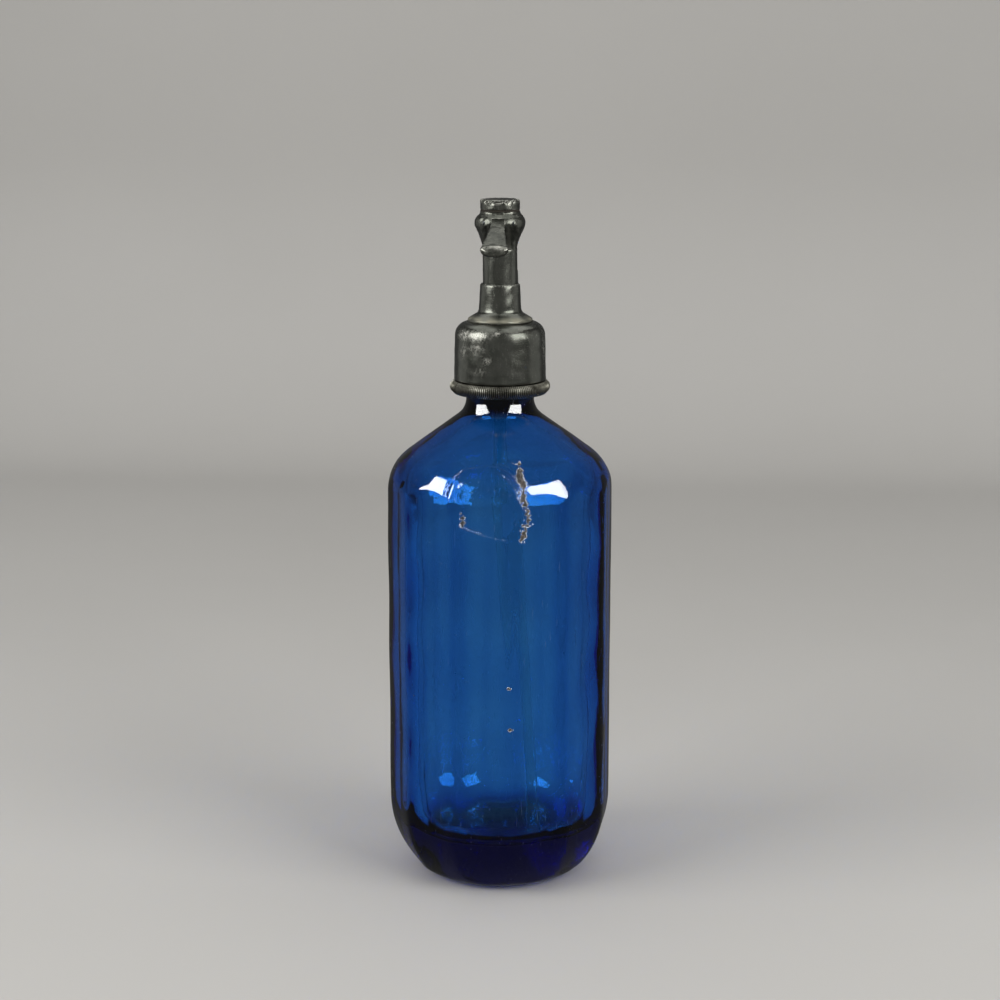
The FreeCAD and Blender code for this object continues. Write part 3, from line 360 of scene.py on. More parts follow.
def worn_metal(name, bright, middle, dark, dirt, roughness, line_strength=0.22, tarnish=6.0):
    """Old soft metal: cloudy tarnish, turning lines, scratches, bright rubbed edges and dirty corners."""
    made, tree, place = new_finish(name)
    edge, scuff, dust = [
        (add(tree, "Attribute", attribute_name=one, attribute_type="GEOMETRY"), FACTOR)
        for one in ("edge", "scuff", "dust")
    ]
    clouds = add(tree, "TexNoise", {"Vector": place, "Scale": grain(tarnish), "Detail": 7, "Roughness": 0.65})
    grit = add(tree, "TexNoise", {"Vector": place, "Scale": grain(0.6), "Detail": 4, "Roughness": 0.7})
    level = add(tree, "Mapping", {"Vector": place, "Scale": (0.02, 0.02, 1)})
    lathe = add(tree, "TexNoise", {"Vector": level, "Scale": grain(0.5), "Detail": 3, "Roughness": 0.7})
    cloud_share = add(tree, "MapRange", {"Value": clouds, "From Min": 0.35, "From Max": 0.66})
    skin = add(tree, "Mix", {0: cloud_share, A: linear(dark), B: linear(middle)}, data_type="RGBA")

    first_lines = scratch_lines(tree, place, (0.5, 0.9, 0.2), 7, 0.28, 0.70)
    second_lines = scratch_lines(tree, place, (-0.9, 0.4, 0), 5, 0.22, 0.71)
    cuts = add(tree, "Math", {0: first_lines, 1: second_lines}, operation="MAXIMUM")
    scuff_grit = add(tree, "MapRange", {"Value": grit, "From Min": 0.44, "From Max": 0.56})
    scuffed = add(tree, "Math", {0: scuff_grit, 1: scuff}, operation="MULTIPLY")
    rub = add(tree, "MapRange", {"Value": edge, "From Min": 0.45, "From Max": 2.2, "To Max": 0.8})
    rub_patchy = add(tree, "Math", {0: rub, 1: cloud_share}, operation="MULTIPLY")
    some_cuts = add(tree, "Math", {0: cuts, 1: 0.4, 2: rub_patchy}, operation="MULTIPLY_ADD")

    corner = add(tree, "MapRange", {"Value": edge, "From Min": -0.35, "From Max": -1.6})
    speck = add(tree, "MapRange", {"Value": grit, "From Min": 0.66, "From Max": 0.72, "To Max": 0.7})
    soiled = add(tree, "Math", {0: corner, 1: speck}, operation="MAXIMUM")
    for share, colour in ((some_cuts, bright), (scuffed, "#DEDCD2"), (dust, "#9C9884"), (soiled, dirt)):
        skin = add(tree, "Mix", {0: share, A: (skin, MIXED), B: linear(colour)}, data_type="RGBA")
    dulled = add(tree, "Math", {0: soiled, 1: scuffed}, operation="MAXIMUM")
    covered = add(tree, "Math", {0: dulled, 1: dust}, operation="MAXIMUM")
    metallic = add(tree, "MapRange", {"Value": covered, "To Min": 1.0, "To Max": 0.35})
    satin = add(tree, "MapRange", {"Value": clouds, "To Min": roughness + 0.06, "To Max": roughness - 0.05})
    rough = add(tree, "Math", {0: covered, 1: 0.35, 2: satin}, operation="MULTIPLY_ADD", use_clamp=True)

    pits = add(tree, "Bump", {"Height": grit, "Strength": 0.08, "Distance": 0.0002})
    rings = add(tree, "Bump", {
        "Height": lathe, "Strength": line_strength, "Distance": 0.00012, "Normal": pits,
    })
    dents = add(tree, "Bump", {"Height": clouds, "Strength": 0.09, "Distance": 0.0006, "Normal": rings})
    nicks = add(tree, "Bump", {
        "Height": cuts, "Strength": 0.3, "Distance": 0.00008, "Normal": dents,
    }, invert=True)
    metal = add(tree, "BsdfPrincipled", {
        "Base Color": (skin, MIXED), "Metallic": metallic, "Roughness": rough, "Normal": nicks,
    })
    add(tree, "OutputMaterial", {"Surface": metal})
    return made


def soft_washer(name, light, dark, size, roughness):
    """Rubber or pressed fibre: dull, finely mottled and slightly uneven."""
    made, tree, place = new_finish(name)
    mottle = add(tree, "TexNoise", {"Vector": place, "Scale": grain(size), "Detail": 6, "Roughness": 0.7})
    colour = add(tree, "Mix", {0: mottle, A: linear(dark), B: linear(light)}, data_type="RGBA")
    bump = add(tree, "Bump", {"Height": mottle, "Strength": 0.4, "Distance": 0.0003})
    skin = add(tree, "BsdfPrincipled", {
        "Base Color": (colour, MIXED), "Roughness": roughness, "Normal": bump,
    })
    add(tree, "OutputMaterial", {"Surface": skin})
    return made


COBALT = cobalt_glass()
CLEAR = tube_glass()
# Turned pewter, grown grey-green: soft satin shine, darker than tin
PEWTER = worn_metal("turned_pewter", "#C2C1B7", "#70716A", "#595B54", "#2A281E", roughness=0.25)
# The grip ring's pewter holds more dirt between its teeth; the dark between them is partly painted shade
RING_PEWTER = worn_metal("knurled_pewter", "#C4C2B6", "#605F55", "#3D3C33", "#141309", roughness=0.36)
# The bitten cap, the bulb and the nozzle are rubbed brighter on their edges
HANDLED_PEWTER = worn_metal(
    "handled_pewter", "#C4C3B9", "#6F7068", "#4A4C46", "#211F18", roughness=0.28, tarnish=4.0,
)
# The cast lever has no turning lines and a darker skin
CAST_PEWTER = worn_metal(
    "cast_pewter", "#C2C1B7", "#63645C", "#43453F", "#1E1C16", roughness=0.3, line_strength=0.0, tarnish=4.0,
)
# Brass inside, dulled brown by water
BRASS = worn_metal("wetted_brass", "#C9AA62", "#8F7440", "#5F4E2E", "#33301F", roughness=0.38)
# Drawn steel wire and screw, grey with a few rust freckles
STEEL = worn_metal("drawn_steel", "#B9BCBE", "#85898B", "#5F6263", "#4A3222", roughness=0.3)
RUBBER = soft_washer("aged_black_rubber", "#34312D", "#191817", size=1.2, roughness=0.75)
FIBRE = soft_washer("oiled_leather_fibre", "#2C2519", "#1A150F", size=0.8, roughness=0.8)


# Glass bottle

BODY_RADIUS = 50.4
FLAT_DEPTH = 1.4
FLAT_COUNT = 12
FLAT_TURN = -5.0
FLAT_EDGE = 0.2  # fire-polished round where two flats meet
HEEL_HEIGHT = 19.25
FOOT_CORNER = 36.8
KICK_RADIUS = 24.0
KICK_DEPTH = 2.5
SHOULDER_HEIGHT = 187.54
NECK_RADIUS = 15.0
BEAD_RADIUS = 16.6
BEAD_HEIGHT = 6.5
NECK_BORE = 9.0
BODY_WALL = 8.9
CONE_WALL = 7.5
FLOOR_HEIGHT = 23
FLOOR_DOME = 27
SHOULDER_SLOPE = math.radians(35.5)
SHOULDER_RISE = math.tan(SHOULDER_SLOPE)

# Spacing of the rows up the outside, as (above this height, below this height, spacing), and elsewhere
ROW_SPACINGS = [(34, 158, 4.5), (160, 197, 0.5), (216, 999, 0.7)]
ROW_SPACING = 1.3
PIT_REACH = 2  # rows this near to a pit are as close as those across the bruise
PIT_SPACING = 0.5
SIDE_ROW = 60  # the first row that is surely past the kick and the foot
LAID_RADIUS = 30  # the least radius at which distances across the front are measured
FACETED_RADIUS = 20  # narrower rows, on the neck and in the kick, stay round
SOUND_HEIGHT = 212  # the neck above it is neither dented nor uneven
SOUND_BORE = 205
# Painted shade towards the neck: a grey-blue tint that darkens the glass there, outside and in the bore, as
# (height where it begins, height it takes to be full)
OUTER_NECK_SHADE = (211, 3)
INNER_NECK_SHADE = (204, 6)

# The bruise on the shoulder, as (azimuth in degrees, height): its middle, its blow and its cracked rim
BRUISE_MIDDLE = (-3.3, 180.5)
BRUISE_RADIUS = 16.8
BRUISE_DEPTH = 0.75
BLOW = (-15.5, 189.0)
CRACK = [
    (16.5, 195.6), (15.4, 190.5), (16.9, 186.0), (16.2, 182.0), (18.0, 177.0), (19.0, 172.5), (16.8, 168.0),
    (15.2, 164.4),
]
SIDE_CRACK = [(-15.0, 175.8), (-14.3, 172.5), (-15.1, 169.8)]
LOW_CRACK = [(-14.2, 169.2), (-5.0, 166.2), (4.5, 164.2), (8.0, 163.8)]
# Each crack with its width in mm, how much it wanders and how deep it is
CRACKS = [(CRACK, 1.25, 1.0, 1.0), (SIDE_CRACK, 0.8, 1.0, 0.9), (LOW_CRACK, 0.3, 0.1, 0.3)]
# Small open pits low on the front
PITS = [(8.9, 98.4), (9.4, 79.4)]
# Sharp lips on the bruise's rim, as (bearing from its middle in degrees, half width in degrees)
BRUISE_LIPS = [(164, 15), (58, 20)]
# The ridges that make up a lip, as (mm outside the rim, share of its height)
LIP_RIDGES = [(-1.6, 0.6), (0.0, 1.0), (1.7, 0.7)]
LIP_HEIGHT = 0.5
RING_PITCH = 1.7  # mm between the rings that spread from the blow
RING_HEIGHT = 0.04


def nearest(along, up, trail):
    """Distance of every point to a line of places, all laid flat in mm."""
    least = np.full(along.shape, 1e3)
    for (x0, z0), (x1, z1) in zip(trail[:-1], trail[1:]):
        share = ((along - x0) * (x1 - x0) + (up - z0) * (z1 - z0)) / ((x1 - x0) ** 2 + (z1 - z0) ** 2)
        share = np.clip(share, 0, 1)
        least = np.minimum(least, np.hypot(along - x0 - share * (x1 - x0), up - z0 - share * (z1 - z0)))
    return least


def bottle_angles():
    """Azimuths of the bottle's columns, three times closer across the damaged front."""
    fine = np.linspace(-math.pi, math.pi, 4001)
    spacing = np.where(np.abs(fine) < math.radians(27), 0.5, 1.75)
    return spread(fine, spacing, 301)[:-1]


def bottle_outside():
    """Half section of the outside, from the kick's middle to the lip, with the distance along the glass."""
    kick = np.linspace(0.6, KICK_RADIUS, 14)
    hollow = np.stack([kick, KICK_DEPTH * (1 - (kick / KICK_RADIUS) ** 2)], axis=-1)
    neck_corner = SHOULDER_HEIGHT + (BODY_RADIUS - NECK_RADIUS) * SHOULDER_RISE
    bead_foot = BOTTLE_TOP - BEAD_HEIGHT
    rest = outline([
        (KICK_RADIUS, 0), (FOOT_CORNER, 0, 16.5), (BODY_RADIUS, HEEL_HEIGHT, 45),
        (BODY_RADIUS, SHOULDER_HEIGHT, 22.4), (NECK_RADIUS, neck_corner, 10),
        (NECK_RADIUS, bead_foot, 0.6), (BEAD_RADIUS, bead_foot, 0.8),
        (BEAD_RADIUS, BOTTLE_TOP, 0.8), (NECK_BORE + 1, BOTTLE_TOP),
    ], 0.1)
    line = np.concatenate([hollow[:-1], rest])
    along = np.concatenate([[0], np.cumsum(np.linalg.norm(np.diff(line, axis=0), axis=1))])
    level = line[:, 1]
    spacing = np.full(len(line), ROW_SPACING)
    for low, high, apart in ROW_SPACINGS:
        spacing[(level > low) & (level < high)] = apart
    for _, up in PITS:
        spacing[np.abs(level - up) < PIT_REACH] = PIT_SPACING
    stations = spread(along, spacing, 205)
    section = [np.interp(stations, along, line[:, 0]), np.interp(stations, along, line[:, 1])]
    return np.stack(section, axis=-1), stations


def bottle_inside():
    """Half section of the inside, from the lip down the bore and the cavity to its domed floor's middle."""
    cavity = BODY_RADIUS - BODY_WALL
    inner_cone = SHOULDER_HEIGHT - CONE_WALL / math.cos(SHOULDER_SLOPE)
    return outline([
        (NECK_BORE, BOTTLE_TOP - 0.2), (NECK_BORE, inner_cone + (BODY_RADIUS - NECK_BORE) * SHOULDER_RISE, 8),
        (cavity, inner_cone + BODY_WALL * SHOULDER_RISE, 15), (cavity, FLOOR_HEIGHT, 10),
        (30, FLOOR_HEIGHT, 6), (14, 26.6, 30), (0.6, FLOOR_DOME),
    ], 3.2)


def flat_limit(level):
    """How far out the flats lie at each height: upright on the side and drawn in along the heel."""
    flat = BODY_RADIUS - FLAT_DEPTH
    foot = FOOT_CORNER * flat / BODY_RADIUS
    edge = outline([(foot, 0), (flat, HEEL_HEIGHT, 45), (flat, 260)], 0.5)
    return np.interp(level, edge[:, 1], edge[:, 0])


def faceted(section, angles):
    """The turned outside with its radius the smaller, softly, of the turned one and the nearest flat."""
    radius = section[:, 0, None]
    level = section[:, 1, None]
    pitch = 2 * math.pi / FLAT_COUNT
    off_centre = (angles - math.radians(FLAT_TURN) + pitch / 2) % pitch - pitch / 2
    flat = flat_limit(level) / np.cos(off_centre)
    neighbour = flat_limit(level) / np.cos(np.abs(off_centre) - pitch)
    beyond = np.exp(-(flat - radius) / FLAT_EDGE) + np.exp(-(neighbour - radius) / FLAT_EDGE)
    radius = np.where(radius > FACETED_RADIUS, radius - FLAT_EDGE * np.log(beyond + 1), radius)
    return np.stack([radius * np.sin(angles), -radius * np.cos(angles), level + 0 * angles], axis=-1)


def bruise_dent(outer, reach, bearing, from_rim, from_blow):
    """How far the bruise moves the glass: a shallow bowl, sharp lips on its rim and rings round the blow."""
    bowl = np.clip(1 - reach ** 2, 0, 1) ** 0.8
    lips = np.zeros_like(reach)
    for toward, half_width in BRUISE_LIPS:
        for outside, share in LIP_RIDGES:
            lips += sector(bearing, toward, half_width) * share * ridge(from_rim, outside, 0.5)
    rings = np.sin(2 * math.pi * from_blow / RING_PITCH) * np.exp(-from_blow / 12)
    rings = rings * np.clip(-from_rim / 3, 0, 1)
    blown = 0.07 * ripple(outer, 32, 1) + 0.035 * ripple(outer * (1, 1, 0.25), 9, 2)
    return blown - BRUISE_DEPTH * bowl + LIP_HEIGHT * lips - RING_HEIGHT * rings


def scars(outer, sideways, upwards, laid_flat, bearing, from_rim):
    """How badly the glass is chipped, from nought to about one: cracks, arcs on the bruise's rim and pits."""
    jitter = 0.45 * ripple(outer, 2.2, 8) + 0.3 * ripple(outer, 1.1, 9)
    scar = np.zeros_like(sideways)
    for trail, width, wander, depth in CRACKS:
        laid = [laid_flat(*one) for one in trail]
        gap = nearest(sideways + wander * jitter, upwards - wander * jitter, laid)
        breadth = width * (0.75 + 0.35 * wander * ripple(outer, 5, 3))
        scar = np.maximum(scar, depth * np.clip(1.4 - gap / np.maximum(breadth, 0.1), 0, 1))
    upper_rim = sector(bearing, 88, 62) * ridge(from_rim, 0.3, 0.4)
    inner_arc = sector(bearing, 50, 40) * ridge(from_rim, -2.4, 0.35)
    scar = np.maximum(scar, 0.3 * upper_rim + 0.2 * inner_arc)
    for pit in PITS:
        at = laid_flat(*pit)
        gap = np.hypot(sideways - at[0] + 0.4 * jitter, (upwards - at[1]) * 1.3)
        scar = np.maximum(scar, np.clip(1.6 - gap / 0.75, 0, 1))
    return scar


def bottle():
    """Faceted outside with its bruise, cracks and pits, and a plain uneven inside, joined at the lip."""
    angles = bottle_angles()
    section, along = bottle_outside()
    outer = faceted(section, angles)

    def laid_flat(azimuth, up):
        """A place on the front as mm sideways and mm along the glass."""
        side = section[SIDE_ROW:]
        sideways = math.radians(azimuth) * np.interp(up, side[:, 1], side[:, 0])
        return sideways, np.interp(up, side[:, 1], along[SIDE_ROW:])

    sideways = angles * np.maximum(section[:, 0, None], LAID_RADIUS)
    upwards = along[:, None] + 0 * angles
    middle, blow = laid_flat(*BRUISE_MIDDLE), laid_flat(*BLOW)
    reach = np.hypot(sideways - middle[0], upwards - middle[1]) / BRUISE_RADIUS
    reach = reach * (1 + 0.012 * ripple(outer, 18, 5))
    bearing = np.degrees(np.arctan2(upwards - middle[1], sideways - middle[0]))
    from_rim = (reach - 1) * BRUISE_RADIUS
    from_blow = np.hypot(sideways - blow[0], upwards - blow[1])
    scar = scars(outer, sideways, upwards, laid_flat, bearing, from_rim)
    crumbled = scar * (0.3 + 0.4 * np.abs(ripple(outer, 0.9, 4)))
    dent = bruise_dent(outer, reach, bearing, from_rim, from_blow) - crumbled
    outer = pushed(outer, False, np.where(section[:, 1, None] < SOUND_HEIGHT, dent, 0))

    inner = turned(bottle_inside(), angles)
    inner = pushed(inner, False, np.where(inner[..., 2] < SOUND_BORE, 0.22 * ripple(inner, 30, 6), 0))
    grid = np.concatenate([outer, inner])
    # Painted shade on the neck, on the outside and in the bore
    neck_shades = [
        np.clip((wall[..., 2] - foot) / fade, 0, 1)
        for wall, (foot, fade) in ((outer, OUTER_NECK_SHADE), (inner, INNER_NECK_SHADE))
    ]
    marks = {"scar": np.concatenate([scar, np.zeros(inner.shape[:2])]), "neck_shade": np.concatenate(neck_shades)}
    return add_grid("bottle_glass", grid, "poles", "root", ["glass_bottle"], "cobalt_glass", COBALT, **marks)


# Dip tube

TUBE_RADIUS = 3.2
TUBE_BORE = 2.55
TUBE_BEND_HEIGHT = 195.0
TUBE_TURN = math.radians(-60.7)
TUBE_REACH = 34.2
TUBE_END_HEIGHT = 26.0


def tube_shell(line, outer, bore, side, count):
    """Outside and bore of a tube along one line, as one closed grid."""
    return np.concatenate([round_bar(line, outer, side, count), round_bar(line, bore, side, count)[::-1]])


def dip_tube():
    """Straight, one gentle bend, straight to a corner of the floor, all in one upright plane."""
    flat = outline([(0, TUBE_TOP), (0, TUBE_BEND_HEIGHT, 40), (TUBE_REACH, TUBE_END_HEIGHT)], 2.0)
    toward = np.array([math.cos(TUBE_TURN), math.sin(TUBE_TURN), 0])
    line = flat[:, :1] * toward + flat[:, 1:] * np.array([0, 0, 1])
    side = np.cross(toward, (0, 0, 1))
    grid = tube_shell(line, TUBE_RADIUS, TUBE_BORE, side, 40)
    return add_grid("dip_tube_glass", grid, "joined", "root", ["dip_tube"], "tube_glass", CLEAR)


# Valve spring

SPRING_RADIUS = 3.9
SPRING_WIRE = 0.35  # the wire's radius
SPRING_TURNS = 3
STEM_LIFT = 2.03


def spring():
    """A helix of wire on the stem's plate, as short as the pressed lever makes it, to stay inside the cap."""
    low, high = height("valve_spring")
    turn = np.linspace(0, 2 * math.pi * SPRING_TURNS, 160)
    rise = low + SPRING_WIRE + (high - low - 2 * SPRING_WIRE - STEM_LIFT) * turn / turn[-1]
    outward = np.stack([np.cos(turn), np.sin(turn), 0 * turn], axis=-1)
    line = SPRING_RADIUS * outward + rise[:, None] * np.array([0, 0, 1])
    grid = round_bar(line, SPRING_WIRE, outward, 12)
    return add_grid("spring_coil", grid, "flat", "stem", ["valve_spring"], "steel", STEEL)


# Turned metal

BELL_BORE = 18.6
BELL_ROOM = 17.0
BELL_WALL = 3.2
BELL_SKIN = 18.7  # what lies further out belongs to the bell's outside
DIRT_LINE = 14.6  # the dirt line round the foot of the flange
FLANGE_RADIUS = 14.3
PIPE_RADIUS = 7.6
WATERWAY = 5.0
STEM_HOLE = 2.2

# Scuffs on the bell, as (azimuth, height, half width in degrees, half height in mm, strength)
BELL_SCUFFS = [
    (-50, 247.0, 12, 1.7, 0.9), (-26, 247.2, 15, 1.6, 0.9), (-12, 236.7, 5, 1.2, 1.2),
    (-48, 240.0, 7, 2.4, 0.4), (-26, 242.0, 11, 2.2, 0.45), (-19, 232.0, 9, 1.8, 0.3),
    (78, 242.0, 6, 5.5, 0.5), (0, 248.6, 5, 0.7, 0.8),
]


def bell():
    """Bell shell with a drawn-in foot edge, a round shoulder, shallow dents and scuffs on its front left."""
    section = outline([
        (BELL_BORE, BELL_FOOT, 0.2), (20.35, BELL_FOOT, 0.5), (19.8, BELL_TOP, 6.1), (9.0, BELL_TOP, 0.3),
        (9.0, BELL_TOP - BELL_WALL, 0.2), (BELL_ROOM, BELL_TOP - BELL_WALL, 3.5),
        (BELL_ROOM, BELL_FOOT + 12, 0.2), (BELL_BORE, BELL_FOOT + 12, 0.2),
    ], 0.8, closed=True)
    grid = turned(section, even_angles(300))
    azimuth = azimuth_of(grid)
    level = grid[..., 2]
    outside = radius_of(grid) > BELL_SKIN
    dents = 0.05 * ripple(grid, 14, 11) + 0.02 * ripple(grid, 5, 12)
    grid = pushed(grid, True, np.where(outside | (level > BELL_TOP - 0.1), dents - 0.05, 0))
    scuff = np.zeros(grid.shape[:2])
    for middle, up, half_width, half_height, strength in BELL_SCUFFS:
        off = ((azimuth - middle) / half_width) ** 2 + ((level - up) / half_height) ** 2
        scuff += strength * np.exp(-off)
    scuff = np.clip(scuff * (0.75 + 0.5 * ripple(grid, 1.8, 13)), 0, 1)
    edge = bend_of(grid, True)
    under_flange = (level > BELL_TOP - 0.25) & (np.abs(radius_of(grid) - DIRT_LINE) < 0.7)
    marks = {"scuff": scuff, "edge": np.where(under_flange, -1.3, edge)}
    return add_grid("bell_shell", grid, "joined", "root", ["bell_cap"], "pewter", PEWTER, **marks)


TEETH = 150
RING_SEAM = math.radians(-59.3)
SLEEVE_RADIUS = 18.4
SLEEVE_BORE = 16.9
LEDGE_BORE = 15.5
GRIP_HEIGHT = 4.4
LEDGE_HEIGHT = 2.2
FOOT_DROP = 1.2  # how much lower than in the CAD the grip hangs


def ring_half(name, node, first):
    """Half of the grip ring: an L-shaped section with a bowed, toothed outside, carried half way round."""
    ledge = RING_FOOT + LEDGE_HEIGHT
    top = RING_FOOT + GRIP_HEIGHT
    foot = RING_FOOT - FOOT_DROP
    section = outline([
        (LEDGE_BORE, foot, 0.3), (20.4, foot, 0.5), (23.4, foot + 3.1, 2.6), (20.6, top, 0.4),
        (SLEEVE_RADIUS, top, 0.2), (SLEEVE_RADIUS, SLEEVE_TOP, 0.2), (SLEEVE_BORE, SLEEVE_TOP, 0.2),
        (SLEEVE_BORE, ledge, 0.2), (LEDGE_BORE, ledge, 0.2),
    ], 0.45, closed=True)
    split = math.radians(0.5)
    stations = np.linspace(first + split, first + math.pi - split, TEETH // 2 * 7 + 1)
    phase = TEETH * (stations - first)
    tooth = np.maximum(np.cos(phase), -0.35)
    worn = 1 + 0.25 * np.sin(3 * stations + 1) + 0.15 * np.sin(11 * stations)
    bowed = np.clip((section[:, 0] - 19.9) / 0.7, 0, 1)
    radius = section[:, 0] - bowed * (0.3 - 0.3 * (tooth * worn)[:, None])
    lean = section[:, 1] + 0 * stations[:, None]
    grid = np.stack([radius * np.sin(stations)[:, None], -radius * np.cos(stations)[:, None], lean], axis=-1)
    # Bright tooth tops and dark gaps between the teeth: partly wear and dirt, partly painted highlight on the
    # tops and painted shade in the gaps
    edge = bend_of(grid, False) * (1 - bowed) + bowed * 3.0 * (tooth * worn)[:, None]
    return add_grid(name, grid, "flat", "ring", [node], "pewter", RING_PEWTER, edge=edge)


def socket():
    """Flared collar: tail down into the base, flange on the bell, waist and a collar round the standpipe."""
    section = outline([
        (WATERWAY, TAIL_FOOT, 0.2), (8.9, TAIL_FOOT, 0.2), (8.9, BELL_TOP, 0.1),
        (FLANGE_RADIUS, BELL_TOP, 0.25), (FLANGE_RADIUS, BELL_TOP + 1.3, 0.65), (9.4, BELL_TOP + 4.3, 2.6),
        (8.8, SOCKET_TOP - 0.6, 0.2), (8.2, SOCKET_TOP, 0.2), (7.65, SOCKET_TOP, 0.1), (7.65, PIPE_FOOT, 0.1),
        (WATERWAY, PIPE_FOOT, 0.1),
    ], 0.6, closed=True)
    grid = turned(section, even_angles(240))
    outside = grid[..., 2] > BELL_TOP + 0.3
    near_top = ridge(grid[..., 2], SOCKET_TOP, 0.9)
    dents = 0.03 * ripple(grid, 6, 21) - 0.03 - near_top * 0.12 * np.abs(ripple(grid, 2.2, 22))
    grid = pushed(grid, True, np.where(outside, dents, 0))
    edge = bend_of(grid, True)
    up = grid[..., 2] - BELL_TOP
    edge = np.where((up > 0.45) & (up < 2.2), np.minimum(edge, 0.3), edge)
    edge = np.where((up >= -0.05) & (up <= 0.45), -1.0 + 0.7 * ripple(grid, 3.0, 24), edge)
    edge = edge + near_top * 1.6 * np.maximum(ripple(grid, 2.6, 25), 0)
    dust = 0.65 * ridge(up, 1.5, 1.1) * np.clip(0.75 + 0.3 * ripple(grid, 4, 26), 0, 1) * outside
    marks = {"edge": edge, "dust": dust}
    return add_grid("socket_collar", grid, "joined", "root", ["standpipe_socket"], "pewter", PEWTER, **marks)


def standpipe():
    """Plain turned tube with a spigot on top for the valve head."""
    section = outline([
        (WATERWAY, PIPE_FOOT, 0.1), (PIPE_RADIUS, PIPE_FOOT, 0.1), (PIPE_RADIUS, HEAD_FOOT, 0.15),
        (6.6, HEAD_FOOT, 0.1), (6.6, PIPE_SPIGOT_TOP, 0.2), (4.8, PIPE_SPIGOT_TOP, 0.2),
        (4.8, HEAD_FOOT, 0.1), (STEM_HOLE, HEAD_FOOT, 0.1), (STEM_HOLE, HEAD_FOOT - 2, 0.1),
        (WATERWAY, HEAD_FOOT - 2, 0.1),
    ], 0.7, closed=True)
    grid = turned(section, even_angles(200))
    grid = pushed(grid, True, 0.025 * ripple(grid, 7, 23) - 0.02)
    return add_grid("standpipe", grid, "joined", "root", ["standpipe_tube"], "pewter", PEWTER)


CAP_RADIUS = 8.7
STUB_HOLE = 6.5
HEAD_ROOM = 5.6
SPIGOT_BORE = 6.65
SLOT_HALF_WIDTH = 2.75
SLOT_FOOT = PIVOT_HEIGHT - 4.6
SLOT_TOP = PIVOT_HEIGHT + 2.15


def bulb():
    """Hollow turned bulb. Its front columns bunch to a slot, where both walls are left open and joined."""
    outside = outline([
        (PIPE_RADIUS, HEAD_FOOT), (7.7, HEAD_FOOT + 2.6, 11), (12.0, HEAD_FOOT + 12.8, 4.4),
        (8.6, HEAD_TOP - 0.9, 1.8), (CAP_RADIUS, HEAD_TOP),
    ], 0.1)
    slot_levels = np.linspace(SLOT_FOOT, SLOT_TOP, 19)
    below = np.linspace(HEAD_FOOT, SLOT_FOOT, 22)[:-1]
    above = np.linspace(SLOT_TOP, HEAD_TOP, 12)[1:]
    outer_levels = np.concatenate([below, slot_levels, above])
    outer_radius = np.interp(outer_levels, outside[:, 1], outside[:, 0])
    inner_foot = [PIPE_SPIGOT_TOP, PIPE_SPIGOT_TOP - 0.1, HEAD_FOOT]
    inner_levels = np.concatenate([[HEAD_TOP], slot_levels[::-1], inner_foot])
    lower_bore = np.where(inner_levels > PIPE_SPIGOT_TOP - 0.05, HEAD_ROOM, SPIGOT_BORE)
    inner_radius = np.where(inner_levels > STUB_FOOT - 0.2, STUB_HOLE, lower_bore)
    levels = np.append(outer_levels, inner_levels)
    section = np.stack([np.append(outer_radius, inner_radius), levels], axis=-1)

    slot_columns, round_columns = 25, 171
    across = np.linspace(-1, 1, slot_columns)
    share = np.linspace(0, 1, round_columns + 2)[1:-1]
    slot_edge = np.arcsin(SLOT_HALF_WIDTH / section[:, :1])
    angles = np.concatenate([slot_edge * across, slot_edge + (2 * math.pi - 2 * slot_edge) * share], axis=1)
    grid = turned(section, angles)
    outer_rows = len(outer_levels)
    dents = 0.06 * ripple(grid, 6, 31) + 0.03 * ripple(grid, 2.5, 32) - 0.05
    dents[outer_rows:] = 0
    dents[0] = dents[outer_rows - 1] = 0
    grid = pushed(grid, True, dents)

    rows, columns = grid.shape[:2]
    outer_slot = range(len(below), len(below) + len(slot_levels) - 1)
    inner_slot = range(outer_rows + 1, outer_rows + len(slot_levels))
    slot_rows = (*outer_slot, *inner_slot)
    gone = {row * columns + column for row in slot_rows for column in range(slot_columns - 1)}
    faces = [face for place, face in enumerate(grid_faces(rows, columns, "joined")) if place not in gone]
    index = np.arange(rows * columns).reshape(rows, columns)
    outer_rim = index[len(below):len(below) + len(slot_levels), :slot_columns]
    inner_rim = index[outer_rows + 1:outer_rows + 1 + len(slot_levels), :slot_columns][::-1]
    for outer_line, inner_line in (
        (outer_rim[0], inner_rim[0]), (outer_rim[-1], inner_rim[-1]),
        (outer_rim[:, 0], inner_rim[:, 0]), (outer_rim[:, -1], inner_rim[:, -1]),
    ):
        walls = np.stack([outer_line[:-1], outer_line[1:], inner_line[1:], inner_line[:-1]], axis=-1)
        faces += walls.tolist()
    slot_middle, slot_half = (SLOT_FOOT + SLOT_TOP) / 2, (SLOT_TOP - SLOT_FOOT) / 2
    off_middle = np.abs(grid[..., 0])
    rim_gap = np.maximum(off_middle - SLOT_HALF_WIDTH, np.abs(grid[..., 2] - slot_middle) - slot_half)
    near_rim = np.where(grid[..., 1] < -4, np.clip(1 - rim_gap / 0.35, 0, 1), 0)
    near_rim = near_rim * (0.5 + 0.5 * ripple(grid, 2, 33))
    # Painted shadow: the bulb's front is darkened on both sides of the lever, below the pivot
    lever_shadow = ridge(off_middle, 4.3, 1.1) * (grid[..., 1] < -3)
    lever_shadow = lever_shadow * np.clip((PIVOT_HEIGHT + 0.5 - grid[..., 2]) / 2, 0, 1)
    edge = np.clip(bend_of(grid, True) + 1.6 * near_rim - 1.1 * lever_shadow, -SHARPEST_BEND, SHARPEST_BEND)
    points = grid.reshape(-1, 3)
    marks = {"edge": edge.ravel()}
    return add_piece("valve_bulb", points, faces, "root", ["valve_head"], "pewter", HANDLED_PEWTER, marks)


